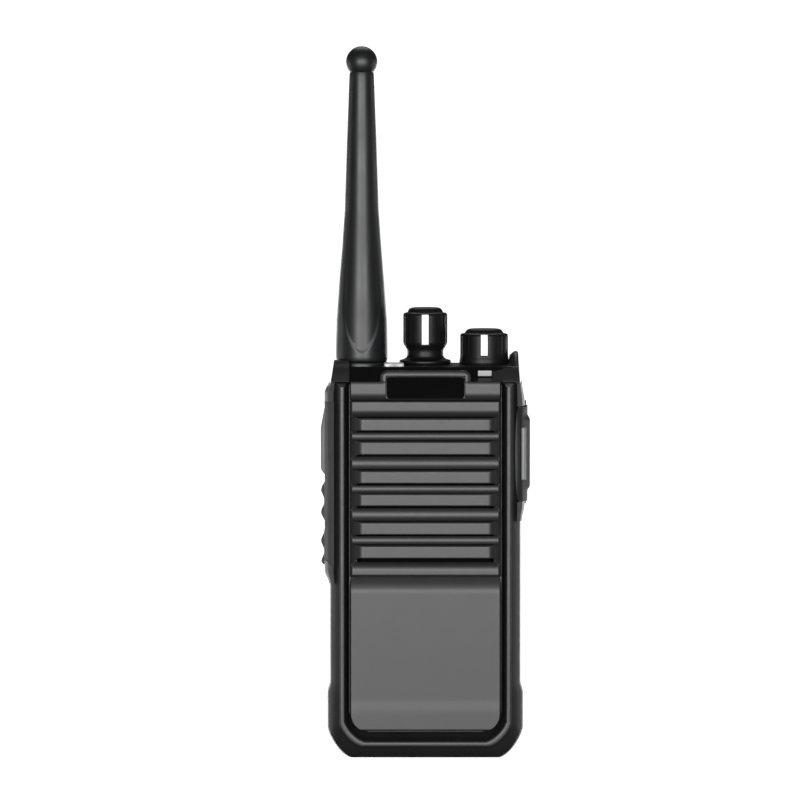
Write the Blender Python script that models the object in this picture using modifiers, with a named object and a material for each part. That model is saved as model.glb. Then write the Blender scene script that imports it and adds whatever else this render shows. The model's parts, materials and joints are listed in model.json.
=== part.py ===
"""Handheld two-way radio: casing, front panel, speaker, controls, antenna, side keys,
accessory cover, slide-off battery pack and sprung belt clip, each as its own solid.

Frame: metres, +Z up, the front faces -Y, the origin is at the centre of the base.
"""
import math

import bmesh
import bpy
from mathutils import Matrix, Vector

MM = 0.001
GAP = 0.3


def mm(*values):
    """Millimetres in metres: one number, or a tuple of them."""
    scaled = tuple(value * MM for value in values)
    return scaled[0] if len(scaled) == 1 else scaled


# ---- driving dimensions, in millimetres -------------------------------------------------
HALF_WIDTH = 28.6
TOP = 117.5
BUMPER = 0.8
SIDE_LEVELS = (20.0, 22.7, 98.4, 98.7)
PACK_LEVELS = SIDE_LEVELS[:2]
CORNER = (7.2, 9.5)
TOP_CORNER = (2.2, 8.0)

CREST_Y = -21.5
BEVEL_Y = -15.5
SEAT_Y = -19.0
INNER_FRONT_Y = -17.0
PARTING_Y = -3.5
HEAD_Y = 7.0
HEAD_FLOOR = (98.7, 100.7)
CHASSIS_Y = (-2.5, -0.7)
PACK_Y = (-0.4, 3.0, 3.3, 14.5)
PACK_TOP = 98.3
REAR_Y = 14.5

CONTROL_Y = -6.5
ANTENNA_X = -19.1
CHANNEL_X = 0.0
VOLUME_X = 17.7
ANTENNA_TOP = 213.4
ANTENNA_SEAT = 116.9

PANEL_HALF_WIDTH = 22.6
PANEL_Y = (-20.8, -19.3)
PANEL_BOTTOM = 8.5
PANEL_TOP = 112.7
TAB_HALF_WIDTH = 13.5
TAB_TOP = 116.6
SLAT_HALF_WIDTH = 19.7
SLATS = ((98.5, 101.8), (91.3, 94.9), (82.6, 86.0), (76.0, 79.1), (67.3, 70.6), (60.1, 63.4))
SLIT = 0.8

SPEAKER_Z = 82.0
KEY_Y = (-13.1, -5.9)
KEY_SPANS = {
    "ptt_button": (84.3, 105.7),
    "side_key_upper": (70.6, 83.1),
    "side_key_lower": (57.7, 69.4),
}
COVER_PIN = (29.9, -6.2)
COVER_SPAN = (77.5, 105.5)

CLIP_PIVOT = (18.4, 111.0)
CLIP_BOTTOM = 45.0
CLIP_SCREW = (6.0, 107.2)

CASE_SCREW = (21.5, 12.0)
RAIL_X = 20.0
MICROPHONE = (17.0, 55.0)

ROUND_STEPS = 24
SMALL_STEPS = 16


# ---- scene and materials ----------------------------------------------------------------
def clear_scene():
    for obj in list(bpy.data.objects):
        bpy.data.objects.remove(obj, do_unlink=True)


def new_collection(name):
    collection = bpy.data.collections.new(name)
    bpy.context.scene.collection.children.link(collection)
    return collection


clear_scene()
PARTS = new_collection("two_way_radio")
CUTTERS = new_collection("cutters")

FINISHES = {
    "casing_plastic": ((0.012, 0.012, 0.013, 1), 0.55, 0.0),
    "panel_plastic": ((0.115, 0.115, 0.118, 1), 0.5, 0.0),
    "gloss_black": ((0.004, 0.004, 0.004, 1), 0.15, 0.0),
    "knob_plastic": ((0.006, 0.006, 0.006, 1), 0.4, 0.0),
    "rubber": ((0.02, 0.02, 0.02, 1), 0.75, 0.0),
    "antenna_rubber": ((0.022, 0.023, 0.025, 1), 0.45, 0.0),
    "white_plastic": ((0.85, 0.85, 0.85, 1), 0.4, 0.0),
    "pale_plastic": ((0.5, 0.5, 0.52, 1), 0.4, 0.0),
    "light_pipe": ((0.6, 0.6, 0.6, 1), 0.2, 0.0),
    "speaker_paper": ((0.02, 0.02, 0.02, 1), 0.8, 0.0),
    "mesh_cloth": ((0.005, 0.005, 0.005, 1), 0.9, 0.0),
    "circuit_board": ((0.01, 0.09, 0.03, 1), 0.5, 0.0),
    "aluminium": ((0.5, 0.5, 0.51, 1), 0.45, 1.0),
    "steel": ((0.45, 0.45, 0.46, 1), 0.35, 1.0),
    "brass": ((0.75, 0.55, 0.2, 1), 0.3, 1.0),
    "cell_wrap": ((0.03, 0.08, 0.25, 1), 0.4, 0.0),
}


def make_material(name):
    colour, roughness, metallic = FINISHES[name]
    material = bpy.data.materials.new(name)
    material.use_nodes = True
    shader = material.node_tree.nodes["Principled BSDF"]
    shader.inputs["Base Color"].default_value = colour
    shader.inputs["Roughness"].default_value = roughness
    shader.inputs["Metallic"].default_value = metallic
    return material


MATERIALS = {name: make_material(name) for name in FINISHES}


# ---- building blocks --------------------------------------------------------------------
def add(name, mesh, finish, origin=(0, 0, 0)):
    """Link a mesh as an object. A piece with no finish is a cutter or a shape to join on."""
    obj = bpy.data.objects.new(name, mesh)
    obj.location = mm(*origin)
    if finish:
        mesh.materials.append(MATERIALS[finish])
        PARTS.objects.link(obj)
    else:
        obj.hide_render = True
        obj.display_type = "WIRE"
        CUTTERS.objects.link(obj)
    return obj


def bevel(obj, width, segments=1):
    modifier = obj.modifiers.new("edges", "BEVEL")
    modifier.width = mm(width)
    modifier.segments = segments
    modifier.limit_method = "ANGLE"


def box(name, low, high, finish=None, origin=(0, 0, 0)):
    """A cube scaled to two opposite corners."""
    mesh = bpy.data.meshes.new(name)
    bm = bmesh.new()
    bmesh.ops.create_cube(bm, size=1.0)
    size = [b - a for a, b in zip(low, high)]
    centre = [(a + b) / 2 - o for a, b, o in zip(low, high, origin)]
    bmesh.ops.scale(bm, vec=mm(*size), verts=bm.verts)
    bmesh.ops.translate(bm, vec=mm(*centre), verts=bm.verts)
    bm.to_mesh(mesh)
    bm.free()
    return add(name, mesh, finish, origin)


def turned(name, profile, centre, finish=None, steps=ROUND_STEPS, along="Z"):
    """A profile of (radius, height) turned round an axis through centre.

    Along Y the height is measured towards the front, and along X towards +X.
    """
    mesh = bpy.data.meshes.new(name)
    points = [mm(radius, 0, height) for radius, height in profile]
    closed = points[0] == points[-1]
    points = points[:-1] if closed else points
    edges = [(i, i + 1) for i in range(len(points) - 1)]
    if closed:
        edges.append((len(points) - 1, 0))
    mesh.from_pydata(points, edges, [])
    obj = add(name, mesh, finish, centre)
    if along == "Y":
        obj.rotation_euler.x = math.pi / 2
    if along == "X":
        obj.rotation_euler.y = math.pi / 2
    screw = obj.modifiers.new("turn", "SCREW")
    screw.steps = screw.render_steps = steps
    screw.use_merge_vertices = True
    screw.merge_threshold = 0.00001
    return obj


def disc_profile(radius, low, high):
    return [(0, high), (radius, high), (radius, low), (0, low)]


def tube_profile(outer, inner, low, high):
    return [(inner, high), (outer, high), (outer, low), (inner, low), (inner, high)]


def hole(name, radius, low, high, centre, along="Z", steps=ROUND_STEPS):
    """A round cutter. Its flats face the main axes, so that no corner lands on a seam."""
    tool = turned(name, disc_profile(radius, low, high), centre, None, steps, along)
    if along == "Z":
        tool.rotation_euler.z = math.pi / steps
    return tool


def loft(name, sections, finish=None, ring=False, origin=(0, 0, 0)):
    """Skin between outlines with equally many points. A ring closes onto its first outline."""
    mesh = bpy.data.meshes.new(name)
    bm = bmesh.new()
    loops = [[bm.verts.new(mm(*(Vector(p) - Vector(origin)))) for p in s] for s in sections]
    pairs = list(zip(loops, loops[1:]))
    if ring:
        pairs.append((loops[-1], loops[0]))
    else:
        bm.faces.new(loops[0])
        bm.faces.new(loops[-1])
    for first, second in pairs:
        for i in range(len(first)):
            j = (i + 1) % len(first)
            bm.faces.new((first[i], first[j], second[j], second[i]))
    bmesh.ops.triangulate(bm, faces=bm.faces)
    bmesh.ops.recalc_face_normals(bm, faces=bm.faces)
    bm.to_mesh(mesh)
    bm.free()
    mesh.shade_smooth()
    mesh.set_sharp_from_angle(angle=math.radians(30))
    return add(name, mesh, finish, origin)


def plate(name, outline, low, high, finish=None, along="Y", origin=(0, 0, 0)):
    """A flat outline filled and extruded: (x, z) along Y, (y, z) along X."""
    curve = bpy.data.curves.new(name, "CURVE")
    curve.dimensions = "2D"
    curve.fill_mode = "BOTH"
    curve.extrude = mm(high - low) / 2
    spline = curve.splines.new("POLY")
    spline.points.add(len(outline) - 1)
    for point, (across, up) in zip(spline.points, outline):
        point.co = (*mm(across, up), 0, 1)
    spline.use_cyclic_u = True
    guide = bpy.data.objects.new(name + "_outline", curve)
    bpy.context.scene.collection.objects.link(guide)
    mesh = bpy.data.meshes.new_from_object(guide.evaluated_get(bpy.context.evaluated_depsgraph_get()))
    bpy.data.objects.remove(guide)
    turn = Matrix.Rotation(math.pi / 2, 4, "X")
    if along == "X":
        turn = Matrix.Rotation(math.pi / 2, 4, "Z") @ turn
    middle = (low + high) / 2
    offset = Vector((0, middle, 0)) if along == "Y" else Vector((middle, 0, 0))
    mesh.transform(Matrix.Translation(mm(*(offset - Vector(origin)))) @ turn)
    bm = bmesh.new()
    bm.from_mesh(mesh)
    bmesh.ops.remove_doubles(bm, verts=bm.verts, dist=0.000001)
    bmesh.ops.recalc_face_normals(bm, faces=bm.faces)
    bm.to_mesh(mesh)
    bm.free()
    mesh.name = name
    mesh.materials.clear()
    return add(name, mesh, finish, origin)


def wire(name, points, radius, finish, origin=(0, 0, 0)):
    """A round wire through a list of points, with filled ends."""
    curve = bpy.data.curves.new(name, "CURVE")
    curve.dimensions = "3D"
    curve.bevel_depth = mm(radius)
    curve.bevel_resolution = 1
    curve.use_fill_caps = True
    spline = curve.splines.new("POLY")
    spline.points.add(len(points) - 1)
    for point, place in zip(spline.points, points):
        point.co = (*mm(*(Vector(place) - Vector(origin))), 1)
    curve.materials.append(MATERIALS[finish])
    obj = bpy.data.objects.new(name, curve)
    obj.location = mm(*origin)
    PARTS.objects.link(obj)
    return obj


def boolean(target, tools, operation):
    for tool in tools:
        modifier = target.modifiers.new(tool.name, "BOOLEAN")
        modifier.operation = operation
        modifier.solver = "EXACT"
        modifier.object = tool


def cut(target, *tools):
    boolean(target, tools, "DIFFERENCE")


def join(target, *tools):
    boolean(target, tools, "UNION")


def corner_points(centre, radii, start, exponent, steps=5):
    """A quarter of a superellipse from the angle start, in degrees. Exponent 2 is an ellipse."""
    points = []
    for i in range(steps + 1):
        angle = math.radians(start + 90 * i / steps)
        c, s = math.cos(angle), math.sin(angle)
        across = math.copysign(abs(c) ** (2 / exponent), c)
        up = math.copysign(abs(s) ** (2 / exponent), s)
        points.append((centre[0] + radii[0] * across, centre[1] + radii[1] * up))
    return points


def casing_outline(y, inset=0.0, bottom=0.0, top=TOP, bumper=BUMPER, corner=CORNER,
                   top_corner=TOP_CORNER, sides=SIDE_LEVELS, half_width=HALF_WIDTH, head_y=None):
    """The casing's outline at depth y: chamfer-like lower corners and a wider lower bumper.

    Points above the pack take the depth head_y where it is given.
    """
    wide = half_width + bumper - inset
    narrow = half_width - inset
    lower = corner_points((wide - corner[0], bottom + corner[1]), corner, -90, 1.5)
    upper = corner_points((narrow - top_corner[0], top - top_corner[1]), top_corner, 0, 2, 3)
    flanks = [(narrow if level else wide, z) for level, z in enumerate(sides)]
    right = lower + flanks + upper
    left = [(-x, z) for x, z in reversed(right)]
    deep = y if head_y is None else head_y
    return [(x, deep if z > PACK_TOP + 0.2 else y, z) for x, z in right + left]


# ---- casing -----------------------------------------------------------------------------
def casing_sections():
    """Outlines from the rear edge, over the bevel and the raised bead, to the inner wall."""
    bead = {"bumper": 0.0, "top_corner": (1.0, 1.0)}
    window = {"bumper": 0.0, "bottom": 57.0, "top": 106.0, "corner": (2, 2), "top_corner": (2, 2),
              "sides": (62.0, 70.0, 85.0, 95.0), "half_width": 20.5}
    inner = {"bumper": 0.0, "inset": 2.0, "bottom": 2.4, "corner": (6.0, 8.0), "top_corner": (2.0, 6.0)}
    return [
        casing_outline(PARTING_Y, head_y=HEAD_Y),
        casing_outline(BEVEL_Y),
        casing_outline(-18.0, inset=0.7, bottom=0.5, bumper=0.6, corner=(6.9, 9.0), top=117.2),
        casing_outline(-20.7, inset=2.7, bottom=3.8, corner=(6.6, 7.0), top=117.0, **bead),
        casing_outline(CREST_Y, inset=3.5, bottom=4.7, corner=(6.4, 6.6), top=116.5, **bead),
        casing_outline(-20.7, inset=4.3, bottom=5.5, corner=(6.2, 6.2), top=113.2, **bead),
        casing_outline(SEAT_Y, inset=4.6, bottom=5.9, corner=(6.0, 6.0), top=112.9, **bead),
        casing_outline(SEAT_Y, **window),
        casing_outline(INNER_FRONT_Y, **window),
        casing_outline(INNER_FRONT_Y, top=111.0, **inner),
        casing_outline(-13.0, top=115.2, **inner),
        casing_outline(PARTING_Y, top=115.2, head_y=HEAD_Y, **inner),
    ]


def microphone_centre():
    x, z = MICROPHONE
    return x, 0, z


def make_front_housing():
    housing = loft("front_housing", casing_sections(), "casing_plastic", ring=True)
    floor_low = (-27.4, PARTING_Y - 2.5, HEAD_FLOOR[0] + 0.1)
    floor_high = (27.4, HEAD_Y - 0.2, HEAD_FLOOR[1])
    join(housing, box("head_floor", floor_low, floor_high))
    brow = [(-30, 111.4), (CREST_Y - 0.5, 111.4), (SEAT_Y, 112.9), (-16.1, TOP), (-16.1, 125), (-30, 125)]
    cut(housing, plate("cut_brow", brow, -40, 40, along="X"))
    cut(housing, box("cut_tab_seat", (-13.8, -25, 111), (13.8, SEAT_Y, 118.5)))
    shoulder = [(-27.5, 113.6), (-26.5, 113.6), (-26.1, 116.1), (-22.7, 116.1), (-22.7, 118.9),
                (-23.2, 119.3), (-26.5, 119.3)]
    fin = [(26.5, 113.6), (28.0, 113.6), (28.2, 118), (27.4, 121.8), (25.7, 119.6), (25.1, 118.2),
           (25.1, 116.1), (26.1, 116.1)]
    join(housing, plate("shoulder", shoulder, -15.6, -8.0), plate("fin", fin, -13.5, -4.2))
    seat = [(0, 130), (8.4, 130), (8.4, ANTENNA_SEAT), (5.0, ANTENNA_SEAT), (5.0, 110), (0, 110)]
    cut(
        housing,
        turned("cut_antenna", seat, (ANTENNA_X, CONTROL_Y, 0)),
        hole("cut_channel", 3.9, 110, 120, (CHANNEL_X, CONTROL_Y, 0)),
        hole("cut_volume", 3.9, 110, 120, (VOLUME_X, CONTROL_Y, 0)),
        box("cut_light", (-12.7, -14.5, 110), (-6.1, -12.0, 120)),
        box("cut_keys", (-33, -13.6, 57.4), (-25, -5.4, 106.0)),
        box("cut_socket", (25, -14.6, 78.7), (33, -7.4, 104.3)),
        hole("cut_microphone", 0.8, 16, 20, microphone_centre(), "Y", 12),
    )
    return housing


def case_screw_centres():
    x, z = CASE_SCREW
    return ("left", (-x, 0, z)), ("right", (x, 0, z))


def clip_screw_centres():
    x, z = CLIP_SCREW
    return ("left", (-x, 0, z)), ("right", (x, 0, z))


def make_bosses(housing):
    """Two screw posts standing from the front wall to the parting line."""
    for side, centre in case_screw_centres():
        post = turned("post_" + side, disc_profile(2.4, 4.0, 17.5), centre, None, SMALL_STEPS, "Y")
        bore = hole("bore_" + side, 1.4, 3.0, 13.0, centre, "Y", SMALL_STEPS)
        join(housing, post)
        cut(housing, bore)


def make_rear_cover():
    head = {"bumper": 0.0, "corner": (1.0, 1.0), "sides": ()}
    front, back = HEAD_Y + GAP, REAR_Y
    outer = dict(head, bottom=HEAD_FLOOR[0])
    inner = dict(head, bottom=HEAD_FLOOR[1], top=115.2, top_corner=(2.0, 6.0))
    sections = [
        casing_outline(back - 2.0, inset=2.6, **inner),
        casing_outline(front, inset=2.2, **inner),
        casing_outline(front, inset=0.2, **outer),
        casing_outline(back - 2.5, inset=0.2, **outer),
        casing_outline(back - 0.7, inset=0.9, **dict(outer, top=TOP - 0.6)),
        casing_outline(back, inset=2.4, **dict(outer, top=TOP - 2.2)),
    ]
    cover = loft("rear_cover", sections, "casing_plastic")
    cut(
        cover,
        box("cut_latch_button", (-6.3, 11, 101.2), (6.3, 16, 105.3)),
        box("cut_latch_spring", (-4.2, 7.8, 97), (4.2, 12.2, 101.1)),
    )
    for side, centre in clip_screw_centres():
        cut(cover, hole("cut_clip_" + side, 1.4, -16, -11, centre, "Y", SMALL_STEPS))


def make_chassis():
    """Die-cast plate that closes the housing and carries the pack on two T-shaped rails."""
    frame = {"inset": 0.3, "bottom": 0.3, "top": PACK_TOP, "top_corner": (1.0, 1.0), "sides": PACK_LEVELS}
    front, back = CHASSIS_Y
    chassis = loft("chassis", [casing_outline(front, **frame), casing_outline(back, **frame)], "aluminium")
    for side, x in (("left", -RAIL_X), ("right", RAIL_X)):
        stem = box("rail_stem_" + side, (x - 0.6, back - 0.5, 14), (x + 0.6, 1.4, 88))
        lip = box("rail_lip_" + side, (x - 1.5, 1.1, 14), (x + 1.5, 2.1, 88))
        join(stem, lip)
        join(chassis, stem)
    cut(chassis, box("cut_contacts", (-9.3, -4, 84.7), (9.3, 1, 93.3)))
    for side, centre in case_screw_centres():
        shank = hole("clear_" + side, 1.3, 0, 4, centre, "Y", SMALL_STEPS)
        head = hole("sink_" + side, 2.4, -1, 2.15, centre, "Y", SMALL_STEPS)
        cut(chassis, shank, head)


def make_housing_screws():
    profile = [(0, 12.5), (1.0, 12.5), (1.0, 1.8), (2.0, 1.8), (2.0, 0.9), (0, 0.9)]
    for side, centre in case_screw_centres():
        turned("housing_screw_" + side, profile, centre, "steel", SMALL_STEPS, "Y")


def make_housing_seal():
    """Rubber gasket between the front housing and the chassis."""
    outer = {"inset": 0.5, "bottom": 0.5, "top": PACK_TOP - 0.3, "top_corner": (1.0, 1.0),
             "sides": PACK_LEVELS}
    inner = dict(outer, inset=1.6, bottom=1.6, top=PACK_TOP - 1.5)
    front, back = PARTING_Y + 0.3, CHASSIS_Y[0] - 0.3
    sections = [casing_outline(y, **rim) for rim, y in
                ((outer, front), (outer, back), (inner, back), (inner, front))]
    loft("housing_seal", sections, "rubber", ring=True)


def make_front_panel():
    lower = corner_points((PANEL_HALF_WIDTH - 5, PANEL_BOTTOM + 5), (5, 5), -90, 2, 4)
    tab = corner_points((TAB_HALF_WIDTH - 2, TAB_TOP - 2), (2, 2), 0, 2, 3)
    right = lower + [(PANEL_HALF_WIDTH, PANEL_TOP), (TAB_HALF_WIDTH, PANEL_TOP)] + tab
    outline = right + [(-x, z) for x, z in reversed(right)]
    panel = plate("front_panel", outline, *PANEL_Y, "panel_plastic")
    front, back = PANEL_Y
    for number, (low, high) in enumerate(SLATS, 1):
        pocket = box(f"pocket_{number}", (-22, front - 1, low - SLIT), (22, front + 0.8, high + SLIT))
        cut(panel, pocket)
        for edge, z in (("low", low - SLIT), ("high", high)):
            slit_low = (-SLAT_HALF_WIDTH, front, z)
            slit_high = (SLAT_HALF_WIDTH, back + 1, z + SLIT)
            cut(panel, box(f"slit_{number}_{edge}", slit_low, slit_high))
    cut(
        panel,
        box("cut_badge", (-11.9, front - 1, 108.0), (11.9, front + 0.9, 114.9)),
        hole("cut_panel_microphone", 0.6, 17, 22, microphone_centre(), "Y", 12),
    )


def make_badge():
    front = PANEL_Y[0]
    badge = box("badge_plate", (-11.6, front - 0.1, 108.3), (11.6, front + 0.6, 114.6), "gloss_black")
    bevel(badge, 0.2)


def make_index_mark():
    """Pale pointer on the sloping brow below the volume knob. Returns the cutter for its seat."""
    slope = math.atan2(TOP - 112.9, SEAT_Y + 16.1)
    mark = box("index_mark", (-2.05, -0.25, -0.9), (2.05, 0.2, 0.9), "pale_plastic")
    seat = box("cut_index", (-2.35, -3.0, -1.2), (2.35, 0.5, 1.2))
    for obj in (mark, seat):
        obj.location = mm(17.75, -17.25, 115.65)
        obj.rotation_euler.x = slope - math.pi / 2
    return seat


# ---- speaker, microphone and electronics ------------------------------------------------
def make_speaker():
    centre = (0, 0, SPEAKER_Z)
    box("speaker_mesh", (-19.4, -18.5, 58.2), (19.4, -17.5, 105.0), "mesh_cloth")
    basket = [(0, 10.6), (8.2, 10.8), (9.4, 12.4), (15.2, 15.4), (15.2, 16.6), (18.0, 16.6),
              (18.0, 14.9), (10.5, 11.4), (9.2, 7.5), (0, 7.5)]
    turned("speaker_frame", basket, centre, "steel", ROUND_STEPS, "Y")
    cone = [(0, 13.5), (4.5, 12.9), (12.6, 15.7), (14.9, 16.4), (14.9, 16.0), (12.8, 15.3), (5.0, 12.1),
            (4.4, 11.2), (0, 11.2)]
    turned("speaker_cone", cone, centre, "speaker_paper", ROUND_STEPS, "Y")
    turned("microphone", disc_profile(2.0, 14.0, 16.7), microphone_centre(), "aluminium", SMALL_STEPS, "Y")


def make_electronics():
    box("main_pcb", (-19.0, -6.9, 5.0), (18.6, -5.9, 98.0), "circuit_board")
    box("rf_shield", (-17.0, -5.6, 50.0), (15.0, -2.9, 82.0), "steel")
    box("ptt_board", (-23.0, -13.5, 56.0), (-22.2, -6.4, 104.5), "circuit_board")
    for name, z in (("ptt_switch", 95.0), ("side_switch_upper", 76.8), ("side_switch_lower", 63.5)):
        box(name, (-24.4, -12.0, z - 3.0), (-23.3, -7.0, z + 3.0), "steel")
    contacts = box("contact_block", (-9.0, -3.6, 85.0), (9.0, -0.8, 93.0), "casing_plastic")
    for number, x in enumerate((-6.0, 0.0, 6.0), 1):
        join(contacts, box(f"contact_pin_{number}", (x - 1.1, -1.5, 87.0), (x + 1.1, -0.6, 91.0)))
    socket = box("accessory_socket", (22.5, -14.2, 79.0), (28.2, -7.8, 104.0), "rubber")
    for name, radius, z in (("jack_large", 1.8, 97.0), ("jack_small", 1.3, 86.0)):
        cut(socket, hole(name, radius, 23.5, 30, (0, -11.0, z), "X", SMALL_STEPS))


# ---- controls on top --------------------------------------------------------------------
def make_control(name, control, x, foot_radius, body):
    """A panel-mounted control: body, nut, shaft, knob and white pointer."""
    centre = (x, CONTROL_Y, 0)
    case = box(control, (x - 5.6, CONTROL_Y - 5.6, 104.6), (x + 5.6, CONTROL_Y + 5.6, 113.5), "steel")
    join(case, turned(control + "_bush", disc_profile(3.6, 110, 120.3), centre))
    cut(case, hole(control + "_bore", 2.6, 106.0, 125, centre))
    turned(name + "_nut", tube_profile(4.8, 3.9, 117.8, 119.6), centre, "brass")
    turned(name + "_shaft", disc_profile(2.3, 106.3, body["shaft_top"]), centre, "steel")
    profile = [(0, body["top"]), *body["profile"], (foot_radius, 119.3), (foot_radius, 118.0),
               (5.3, 118.0), (5.3, 120.8), (2.6, 120.8), (2.6, body["shaft_top"] + 0.3),
               (0, body["shaft_top"] + 0.3)]
    knob = turned(name + "_knob", profile, centre, "knob_plastic")
    low, high = body["marker"]
    front = CONTROL_Y - body["radius"]
    cut(knob, box(name + "_slot", (x - 1.5, front - 2, low - 0.3), (x + 1.5, front + 0.9, high + 0.3)))
    marker_low = (x - 1.2, front - 0.1, low)
    marker_high = (x + 1.2, front + 0.6, high)
    box(name + "_marker", marker_low, marker_high, "white_plastic", centre)


def make_controls():
    channel = {
        "top": 135.0, "shaft_top": 127.0, "radius": 6.7, "marker": (123.7, 133.0),
        "profile": [(4.3, 135.0), (4.9, 134.6), (5.3, 133.5), (6.3, 133.3), (6.7, 132.6), (6.7, 123.9),
                    (6.2, 122.9), (5.7, 121.6), (5.75, 120.6)],
    }
    volume = {
        "top": 128.6, "shaft_top": 124.4, "radius": 7.25, "marker": (120.6, 127.1),
        "profile": [(4.9, 128.6), (5.4, 128.2), (5.8, 127.4), (6.8, 127.2), (7.25, 126.4), (7.25, 119.8)],
    }
    make_control("channel", "channel_encoder", CHANNEL_X, 7.7, channel)
    make_control("volume", "volume_control", VOLUME_X, 7.4, volume)
    lens = box("led_lens", (-12.4, -14.2, 114.5), (-6.4, -12.3, 118.6), "light_pipe")
    bevel(lens, 0.4)


# ---- antenna ----------------------------------------------------------------------------
def sheath_radius(z):
    """Outer radius of the rubber sheath: wide at the foot, slim below the ball tip."""
    knots = [(118.9, 7.5), (124, 7.5), (131, 7.4), (142, 6.6), (153, 5.7), (164, 5.0), (185, 4.4),
             (196, 4.0), (203, 3.75)]
    for (z0, r0), (z1, r1) in zip(knots, knots[1:]):
        if z <= z1:
            return r0 + (r1 - r0) * (z - z0) / (z1 - z0)
    return knots[-1][1]


def make_antenna():
    centre = (ANTENNA_X, CONTROL_Y, 0)
    ball, middle = 4.7, ANTENNA_TOP - 4.7
    cap = [(ball * math.sin(a), middle + ball * math.cos(a)) for a in [math.pi * i / 12 for i in range(9)]]
    sides = [(sheath_radius(z), z) for z in (203, 196, 185, 174, 164, 153, 142, 131, 124, 118.9)]
    bore = [(2.9, 118.9), (2.9, 198.0), (0, 198.0)]
    turned("antenna_sheath", [*cap, *sides, *bore], centre, "antenna_rubber")
    turned("antenna_seal", tube_profile(7.9, 4.4, ANTENNA_SEAT + GAP, 118.6), centre, "rubber")
    plug = [(0, 127.0), (2.5, 127.0), (2.5, 118.6), (3.1, 118.0), (3.1, 111.5), (0, 111.5)]
    turned("antenna_plug", plug, centre, "brass")
    socket = [(0, 108.0), (3.5, 108.0), (3.5, ANTENNA_SEAT), (4.6, ANTENNA_SEAT), (4.6, 114.7),
              (5.5, 114.7), (5.5, 112.7), (4.6, 112.7), (4.6, 106.0), (0, 106.0)]
    turned("antenna_connector", socket, centre, "brass")
    turns, per_turn, low, high = 9, 8, 127.5, 195.0
    points = []
    for i in range(turns * per_turn + 1):
        angle = 2 * math.pi * i / per_turn
        z = low + (high - low) * i / (turns * per_turn)
        points.append((ANTENNA_X + 1.9 * math.cos(angle), CONTROL_Y + 1.9 * math.sin(angle), z))
    wire("antenna_coil", points, 0.35, "brass", centre)


# ---- side keys and accessory cover ------------------------------------------------------
SIDE_INNER = [(28.9, -4.0), (28.9, -15.55), (28.25, -18.15), (27.25, -19.5)]


def side_section(z, outer, mirror):
    points = SIDE_INNER + outer
    return [(-x if mirror else x, y, z) for x, y in points]


def make_ptt_bezel():
    full = [(27.35, -19.85), (29.0, -17.7), (30.4, -14.4), (30.6, -6.0), (30.0, -4.2)]
    thin = [(27.3, -19.7), (28.4, -18.3), (29.1, -15.6), (29.2, -6.0), (29.1, -4.05)]
    spans = [(52.5, thin), (56.0, full), (109.4, full), (112.6, thin)]
    bezel = loft("ptt_bezel", [side_section(z, outer, True) for z, outer in spans], "casing_plastic")
    cut(bezel, box("cut_surround", (-33, -22, 58.0), (-26, -14.2, 107.4)))
    for name, (low, high) in KEY_SPANS.items():
        tool = box("cut_" + name, (-33, KEY_Y[0] - GAP, low - GAP), (-26, KEY_Y[1] + GAP, high + GAP))
        cut(bezel, tool)
    strip = [(28.9, -14.5), (28.9, -15.55), (28.25, -18.15), (27.25, -19.5), (27.35, -19.85), (29.0, -17.7),
             (30.35, -14.5)]
    sections = [[(-x, y, z) for x, y in strip] for z in (58.3, 107.1)]
    loft("key_surround", sections, "rubber")


def make_side_keys():
    for name, (low, high) in KEY_SPANS.items():
        middle = (low + high) / 2
        origin = (-28.0, (KEY_Y[0] + KEY_Y[1]) / 2, middle)
        key = box(name, (-30.9, KEY_Y[0], low), (-27.4, KEY_Y[1], high), "rubber", origin)
        bevel(key, 0.5)
        plunger = box(name + "_plunger", (-28.0, -11.0, middle - 1.5), (-25.9, -8.0, middle + 1.5))
        join(key, plunger)
        if name != "ptt_button":
            for number, z in enumerate((middle - 3.9, middle + 3.9), 1):
                rib_low = (-31.3, KEY_Y[0] + 0.8, z - 0.9)
                rib_high = (-30.5, KEY_Y[1] - 0.8, z + 0.9)
                join(key, box(f"{name}_rib_{number}", rib_low, rib_high))


def make_accessory_cover():
    full = [(27.35, -19.85), (29.0, -17.7), (29.8, -14.4), (29.9, -6.0), (29.6, -4.2)]
    thin = [(27.3, -19.7), (28.4, -18.3), (29.1, -15.6), (29.2, -6.0), (29.1, -4.05)]
    low, high = COVER_SPAN
    spans = [(71.3, thin), (76.2, full), (106.6, full), (112.6, thin)]
    bezel = loft("accessory_bezel", [side_section(z, outer, False) for z, outer in spans], "casing_plastic")
    cut(
        bezel,
        box("cut_cover", (26, -22, low - GAP), (33, -5.0, high + GAP)),
        hole("cut_pin", 0.75, 75.0, 108.0, (*COVER_PIN, 0), "Z", 12),
    )
    strip = [(29.1, -5.5), (29.1, -15.6), (28.25, -18.3), (27.35, -19.55), (27.5, -19.9), (29.1, -17.8),
             (30.7, -14.3), (30.9, -7.4), (30.7, -5.5)]
    origin = (*COVER_PIN, 0)
    spans = [(low, 0.7), (low + 3.5, 1.0), (high - 3.5, 1.0), (high, 0.5)]
    sections = []
    for z, share in spans:
        section = [(x if x < 29.2 else 29.2 + (x - 29.2) * share, y, z) for x, y in strip]
        sections.append(section)
    cover = loft("accessory_cover", sections, "casing_plastic", origin=origin)
    cut(
        cover,
        hole("cover_bore", 0.75, 70, 112, (*COVER_PIN, 0), "Z", 12),
        box("cover_slot", (27, -17.3, 83.2), (32, -15.0, 99.7)),
    )
    turned("cover_pin", disc_profile(0.5, 76.0, 107.0), (*COVER_PIN, 0), "steel", 12)
    bar = [(28.95, -15.3), (28.5, -17.0), (29.5, -17.0), (30.5, -15.3)]
    bar_sections = [[(x, y, z) for x, y in bar] for z in (83.5, 99.4)]
    loft("cover_insert", bar_sections, "pale_plastic", origin=origin)


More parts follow.
